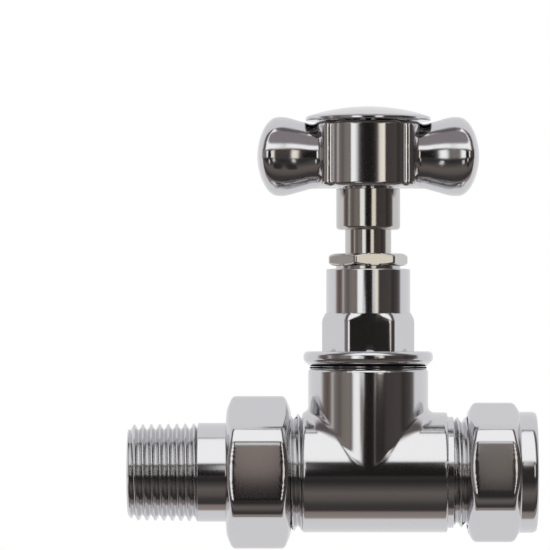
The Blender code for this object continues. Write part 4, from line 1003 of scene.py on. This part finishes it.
class VALVE_OT_handle(bpy.types.Operator):
    """Model the hub with its two lobed arms"""

    bl_idname = "valve.handle"
    bl_label = "Handle"

    def execute(self, context):
        size = context.scene.valve_handle
        axis_z = 67.56 * MM
        hub_low = 60.95 * MM
        hub_high = 75.0 * MM
        arm = smooth_line(ARM_UPRIGHT)
        level = smooth_line(ARM_LEVEL)
        bow = size.hub_curve - size.hub_depth
        arm_low = axis_z - 6.9 * MM
        level_top = 13.2 * MM       # how far out the hub's top stays level
        level_base = 10.5 * MM      # how far out its underside does

        def hub_field(places):
            plan = np.full(len(places), -1.0)
            for turn in (0.0, math.pi / 3.0, -math.pi / 3.0):
                along = places[:, 0] * math.cos(turn) + places[:, 1] * math.sin(turn)
                deep = np.abs(places[:, 1] * math.cos(turn) - places[:, 0] * math.sin(turn))
                plan = cut_round(plan, np.hypot(along, deep + bow) - size.hub_curve, size.hub_corner)
            bead = np.hypot(np.abs(places[:, 0]) - size.bead_x, np.abs(places[:, 1]) - size.bead_y) - size.bead
            blend = np.clip(0.5 + 0.5 * (bead - plan) / size.bead_blend, 0.0, 1.0)
            plan = bead + (plan - bead) * blend - size.bead_blend * blend * (1.0 - blend)
            rise = np.abs(places[:, 2] - 0.5 * (hub_low + hub_high)) - 0.5 * (hub_high - hub_low)
            return cut_round(plan, rise, size.edge)

        def field(places):
            hub = hub_field(places)
            reach = np.hypot(places[:, 1], places[:, 2] - axis_z)
            flat = np.column_stack([np.abs(places[:, 0]), reach])
            share = np.clip(places[:, 1] ** 2 / np.maximum(reach, 1e-6) ** 2, 0.0, 1.0)
            arms = line_distance(flat, arm) * (1.0 - share) + line_distance(flat, level) * share
            slope = gradient(hub_field, places)
            slope /= np.maximum(np.linalg.norm(slope, axis=1), 1e-6)[:, None]
            radial = np.column_stack([np.zeros(len(places)), places[:, 1], places[:, 2] - axis_z])
            radial /= np.maximum(reach, 1e-6)[:, None]
            cosine = np.clip(np.sum(slope * radial, axis=1), -0.2, 1.0)
            shape = join_round(hub, arms, cosine, size.flare)
            far = np.abs(places[:, 0])
            shape = np.where(far < level_top, np.maximum(shape, places[:, 2] - hub_high), shape)
            return np.where(far < level_base, np.maximum(shape, arm_low - places[:, 2]), shape)

        outline = [(0.0, -arm[-1][0])] + [(radius, -far) for far, radius in arm[::-4] if radius > 0.3 * MM]
        outline += [(radius, far) for far, radius in arm[::4] if radius > 0.3 * MM] + [(0.0, arm[-1][0])]
        handle = along_x(turned("handle_look", outline, steps=64))
        places = points_of(handle)
        places[:, 2] += axis_z
        move_points(handle, places)
        hub = prism("hub", size.hub_depth, hub_low, hub_high, 0.0)
        grown(joined(handle, hub), field, 0.34 * MM)
        bore = turned("bore", [
            (0.0, hub_high + MM), (6.7 * MM, hub_high + MM), (6.7 * MM, hub_low + 7.1 * MM),
            (5.5 * MM, hub_low + 7.1 * MM), (5.5 * MM, hub_low + 0.05 * MM), (7.15 * MM, hub_low + 0.05 * MM),
            (7.15 * MM, hub_low - MM), (0.0, hub_low - MM),
        ], steps=64)
        combine(handle, bore, "DIFFERENCE")
        place(smooth(handle, 40.0), "handle", chrome())
        return {"FINISHED"}


class VALVE_OT_cap(bpy.types.Operator):
    """Model the domed cap"""

    bl_idname = "valve.cap"
    bl_label = "Cap"

    def execute(self, context):
        size = context.scene.valve_handle
        low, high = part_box("handle_cap")
        foot = low.z + 3.15 * MM
        rim = foot + size.rim
        inner = size.cap - size.cap_edge
        rise = high.z - rim
        bow = (inner ** 2 + rise ** 2) / (2.0 * rise)
        dome = []
        for step in range(DOME_STEPS + 1):
            turn = math.asin(inner / bow) * step / DOME_STEPS
            dome.append((bow * math.sin(turn), high.z - bow + bow * math.cos(turn)))
        dome[-1] = (*dome[-1], size.cap_edge)
        cap = turned("handle_cap_look", rounded(dome + [
            (size.cap, rim - size.cap_edge, size.cap_edge), (size.cap, foot, 0.2 * MM), (6.1 * MM, foot),
            (6.1 * MM, low.z + 2.3 * MM), (5.3 * MM, low.z + 2.3 * MM), (5.3 * MM, low.z + 0.85 * MM),
            (6.1 * MM, low.z + 0.85 * MM), (6.1 * MM, low.z), (4.6 * MM, low.z), (4.6 * MM, foot + 0.35 * MM),
            (0.0, foot + 0.35 * MM),
        ]), steps=160)
        place(smooth(cap, 30.0), "handle_cap", chrome())
        return {"FINISHED"}


class VALVE_OT_inner_parts(bpy.types.Operator):
    """Give the pieces that stay as CAD solids their finishes"""

    bl_idname = "valve.inner_parts"
    bl_label = "Inner parts"

    def execute(self, context):
        finish = context.scene.valve_finishes
        looks = {
            "brass": new_material("brass", finish.brass, 1.0, 0.25),
            "steel": new_material("steel", finish.steel, 1.0, 0.3),
            "rubber": new_material("rubber", finish.rubber, 0.0, 0.55),
            "packing": new_material("packing", finish.packing, 0.0, 0.6),
        }
        for group in frame["record"]["subparts"]:
            look = looks.get(group["material_slot"])
            if look is None:
                continue
            node = frame["nodes"][group["node"]]
            node.data.materials.clear()
            node.data.materials.append(look)
        return {"FINISHED"}


class Wires:
    """Short way to build a node tree of numbers."""

    def __init__(self, tree):
        self.tree = tree

    def feed(self, socket, value):
        """Link a socket, or set its number."""
        if isinstance(value, bpy.types.NodeSocket):
            self.tree.links.new(value, socket)
        else:
            socket.default_value = value

    def maths(self, operation, *values):
        """Math node."""
        node = self.tree.nodes.new("ShaderNodeMath")
        node.operation = operation
        for socket, value in zip(node.inputs, values):
            self.feed(socket, value)
        return node.outputs[0]

    def step(self, value, start, end):
        """Smooth step from nought at start to one at end."""
        node = self.tree.nodes.new("ShaderNodeMapRange")
        node.interpolation_type = "SMOOTHSTEP"
        self.feed(node.inputs["Value"], value)
        node.inputs["From Min"].default_value = start
        node.inputs["From Max"].default_value = end
        return node.outputs["Result"]

    def ladder(self, value, steps):
        """Colour that runs through the given values, straight from one to the next."""
        low, high = steps[0][0], steps[-1][0]
        node = self.tree.nodes.new("ShaderNodeValToRGB")
        self.feed(node.inputs[0], self.maths("DIVIDE", self.maths("SUBTRACT", value, low), high - low))
        elements = node.color_ramp.elements
        elements[0].color = (*steps[0][1], 1.0)
        elements[1].color = (*steps[-1][1], 1.0)
        for spot, tint in steps[1:-1]:
            elements.new((spot - low) / (high - low)).color = (*tint, 1.0)
        return node.outputs["Color"]

    def mix(self, factor, first, second):
        """Mix two colours."""
        node = self.tree.nodes.new("ShaderNodeMix")
        node.data_type = "RGBA"
        self.feed(node.inputs[0], factor)
        for socket, value in zip((node.inputs[6], node.inputs[7]), (first, second)):
            self.feed(socket, value if isinstance(value, bpy.types.NodeSocket) else (*value, 1.0))
        return node.outputs[2]


def panel(name, middle, width, height, tint):
    """Glowing card with soft edges beside the camera, seen only in reflections."""
    bpy.ops.mesh.primitive_plane_add(size=1.0, location=middle, rotation=(0.5 * math.pi, 0.0, 0.0))
    bpy.context.object.scale = (width, height, 1.0)
    card = settled(name)
    card.visible_camera = False
    card.visible_shadow = False
    card.visible_diffuse = False
    material = bpy.data.materials.new(name)
    material.use_nodes = True
    tree = material.node_tree
    wires = Wires(tree)
    where = tree.nodes.new("ShaderNodeTexCoord")
    split = tree.nodes.new("ShaderNodeSeparateXYZ")
    tree.links.new(where.outputs["Object"], split.inputs[0])
    reach = 0.0
    for value, centre, size in ((split.outputs[0], middle[0], width), (split.outputs[2], middle[2], height)):
        share = wires.maths("ABSOLUTE", wires.maths("MULTIPLY", wires.maths("SUBTRACT", value, centre), 2.0 / size))
        reach = wires.maths("ADD", wires.maths("POWER", share, 5.0), reach)
    shader = tree.nodes["Principled BSDF"]
    shader.inputs["Base Color"].default_value = (0.0, 0.0, 0.0, 1.0)
    shader.inputs["Specular IOR Level"].default_value = 0.0
    shader.inputs["Emission Color"].default_value = (*tint, 1.0)
    shader.inputs["Emission Strength"].default_value = 1.0
    tree.links.new(wires.step(reach, 1.0, 0.45), shader.inputs["Alpha"])
    card.data.materials.append(material)
    return card


class VALVE_OT_studio(bpy.types.Operator):
    """Set up the camera and the surroundings"""

    bl_idname = "valve.studio"
    bl_label = "Studio"

    def execute(self, context):
        scene = context.scene
        studio = scene.valve_studio
        bpy.ops.object.camera_add(location=studio.camera, rotation=(0.5 * math.pi, 0.0, 0.0))
        camera = context.object
        camera.name = "camera"
        camera.data.lens = studio.lens
        camera.data.shift_x = studio.shift_x
        camera.data.shift_y = studio.shift_y
        camera.data.clip_end = 10.0
        scene.camera = camera

        world = bpy.data.worlds.new("studio")
        world.use_nodes = True
        scene.world = world
        tree = world.node_tree
        wires = Wires(tree)
        where = tree.nodes.new("ShaderNodeTexCoord")
        split = tree.nodes.new("ShaderNodeSeparateXYZ")
        tree.links.new(where.outputs["Generated"], split.inputs[0])
        x, y, z = split.outputs
        towards = wires.maths("MULTIPLY", y, -1.0)
        bearing = wires.maths("DEGREES", wires.maths("ARCTAN2", x, towards))
        pitch = wires.maths("DEGREES", wires.maths("ARCTAN2", z, towards))
        elevation = wires.maths("DEGREES", wires.maths("ARCSINE", z))

        ring = wires.ladder(bearing, (
            (-104.0, studio.backdrop), (-95.0, (0.155, 0.115, 0.1)), (-84.0, (0.095, 0.07, 0.065)),
            (-78.0, (0.15, 0.13, 0.12)), (-73.0, (0.45, 0.43, 0.41)), (-68.0, (0.17, 0.15, 0.14)),
            (-57.0, (0.1, 0.09, 0.085)), (-50.0, (0.17, 0.148, 0.132)), (-37.0, (0.19, 0.167, 0.15)),
            (-32.0, (0.09, 0.08, 0.07)), (-28.0, studio.white), (-15.5, studio.white),
            (-10.5, (0.03, 0.027, 0.027)), (-7.0, studio.black), (7.0, studio.black), (11.5, (0.02, 0.018, 0.017)),
            (14.0, (0.8, 0.74, 0.64)), (25.0, (0.8, 0.74, 0.64)), (29.0, (0.03, 0.024, 0.022)),
            (36.0, (0.05, 0.042, 0.04)), (62.0, (0.06, 0.052, 0.048)), (70.0, (0.032, 0.027, 0.026)),
            (86.0, (0.06, 0.052, 0.05)), (95.0, (0.12, 0.105, 0.1)), (101.0, studio.backdrop),
        ))
        run = wires.ladder(pitch, (
            (-100.0, studio.backdrop), (-96.5, (0.25, 0.215, 0.195)), (-81.0, (0.21, 0.175, 0.16)),
            (-77.0, (0.035, 0.03, 0.03)), (-62.0, (0.045, 0.041, 0.04)), (-52.0, (0.09, 0.078, 0.072)),
            (-38.0, (0.115, 0.1, 0.09)), (-25.0, (0.05, 0.045, 0.043)), (-16.0, (0.02, 0.018, 0.018)),
            (-6.0, (0.03, 0.029, 0.03)), (-3.0, (0.085, 0.085, 0.09)), (-1.0, (0.02, 0.02, 0.02)),
            (1.0, studio.black), (17.0, studio.black), (20.5, (0.06, 0.05, 0.045)), (24.0, studio.white),
            (84.0, studio.white), (90.0, studio.backdrop),
        ))
        side = wires.maths("ABSOLUTE", bearing)
        above = wires.mix(wires.step(side, 30.0, 55.0), run, (0.1, 0.085, 0.085))
        above = wires.mix(wires.step(side, 75.0, 105.0), above, studio.backdrop)
        colours = wires.mix(wires.step(elevation, 14.0, 18.0), ring, above)
        colours = wires.mix(wires.step(elevation, -4.0, -8.0), colours, run)

        path = tree.nodes.new("ShaderNodeLightPath")
        colours = wires.mix(path.outputs["Is Camera Ray"], colours, (1.0, 1.0, 1.0))
        lift = wires.maths("MULTIPLY_ADD", path.outputs["Is Camera Ray"], 1.0 - studio.strength, studio.strength)
        background = tree.nodes["Background"]
        tree.links.new(colours, background.inputs["Color"])
        tree.links.new(lift, background.inputs["Strength"])

        for name, low_x, high_x, low_z, high_z, tint in (
            ("card_left", -33.0, -18.1, 2.0, 17.8, (0.31, 0.255, 0.23)),
            ("rim_left", -36.0, -15.5, 11.0, 40.0, studio.white),
            ("card_right", 25.2, 38.1, 18.0, 33.6, (0.22, 0.19, 0.17)),
            ("rim_right", 22.5, 41.0, 26.0, 50.0, studio.white),
        ):
            depth = -0.12 if name.startswith("card") else -0.122
            middle = (0.5 * (low_x + high_x) * MM, depth, 0.5 * (low_z + high_z) * MM)
            card = panel(name, middle, (high_x - low_x) * MM, (high_z - low_z) * MM, tint)
        panel("card_low", (0.046, -0.121, -0.004), 0.044, 0.054, (0.035, 0.03, 0.029))
        panel("card_top", (0.0, -0.02, 0.104), 0.06, 0.053, (0.3, 0.265, 0.28))

        scene.view_settings.view_transform = "Standard"
        return {"FINISHED"}


class VALVE_PT_panel(bpy.types.Panel):
    """Lists the steps in the sidebar."""

    bl_idname = "VALVE_PT_panel"
    bl_label = "Radiator valve"
    bl_space_type = "VIEW_3D"
    bl_region_type = "UI"
    bl_category = "Valve"

    def draw(self, context):
        for step in STEPS:
            self.layout.operator(step.bl_idname)


GROUPS = {
    "valve_body": ValveBodySizes,
    "valve_tail": ValveTailSizes,
    "valve_nuts": ValveNutSizes,
    "valve_bonnet": ValveBonnetSizes,
    "valve_handle": ValveHandleSizes,
    "valve_finishes": ValveFinishes,
    "valve_studio": ValveStudio,
}
STEPS = (
    VALVE_OT_body, VALVE_OT_tail, VALVE_OT_union_nut, VALVE_OT_compression_nut, VALVE_OT_bonnet,
    VALVE_OT_spindle, VALVE_OT_handle, VALVE_OT_cap, VALVE_OT_inner_parts, VALVE_OT_studio,
)


def register():
    """Register the classes and hang the groups on the scene."""
    for name, group in GROUPS.items():
        bpy.utils.register_class(group)
        setattr(bpy.types.Scene, name, bpy.props.PointerProperty(type=group))
    for step in STEPS:
        bpy.utils.register_class(step)
    bpy.utils.register_class(VALVE_PT_panel)


def unregister():
    """Take everything away again."""
    bpy.utils.unregister_class(VALVE_PT_panel)
    for step in reversed(STEPS):
        bpy.utils.unregister_class(step)
    for name, group in reversed(GROUPS.items()):
        delattr(bpy.types.Scene, name)
        bpy.utils.unregister_class(group)


def main():
    """Build the whole valve."""
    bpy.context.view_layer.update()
    register()
    bpy.ops.valve.body()
    bpy.ops.valve.tail()
    bpy.ops.valve.union_nut()
    bpy.ops.valve.compression_nut()
    bpy.ops.valve.bonnet()
    bpy.ops.valve.spindle()
    bpy.ops.valve.handle()
    bpy.ops.valve.cap()
    bpy.ops.valve.inner_parts()
    bpy.ops.valve.studio()


if __name__ == "__main__":
    main()
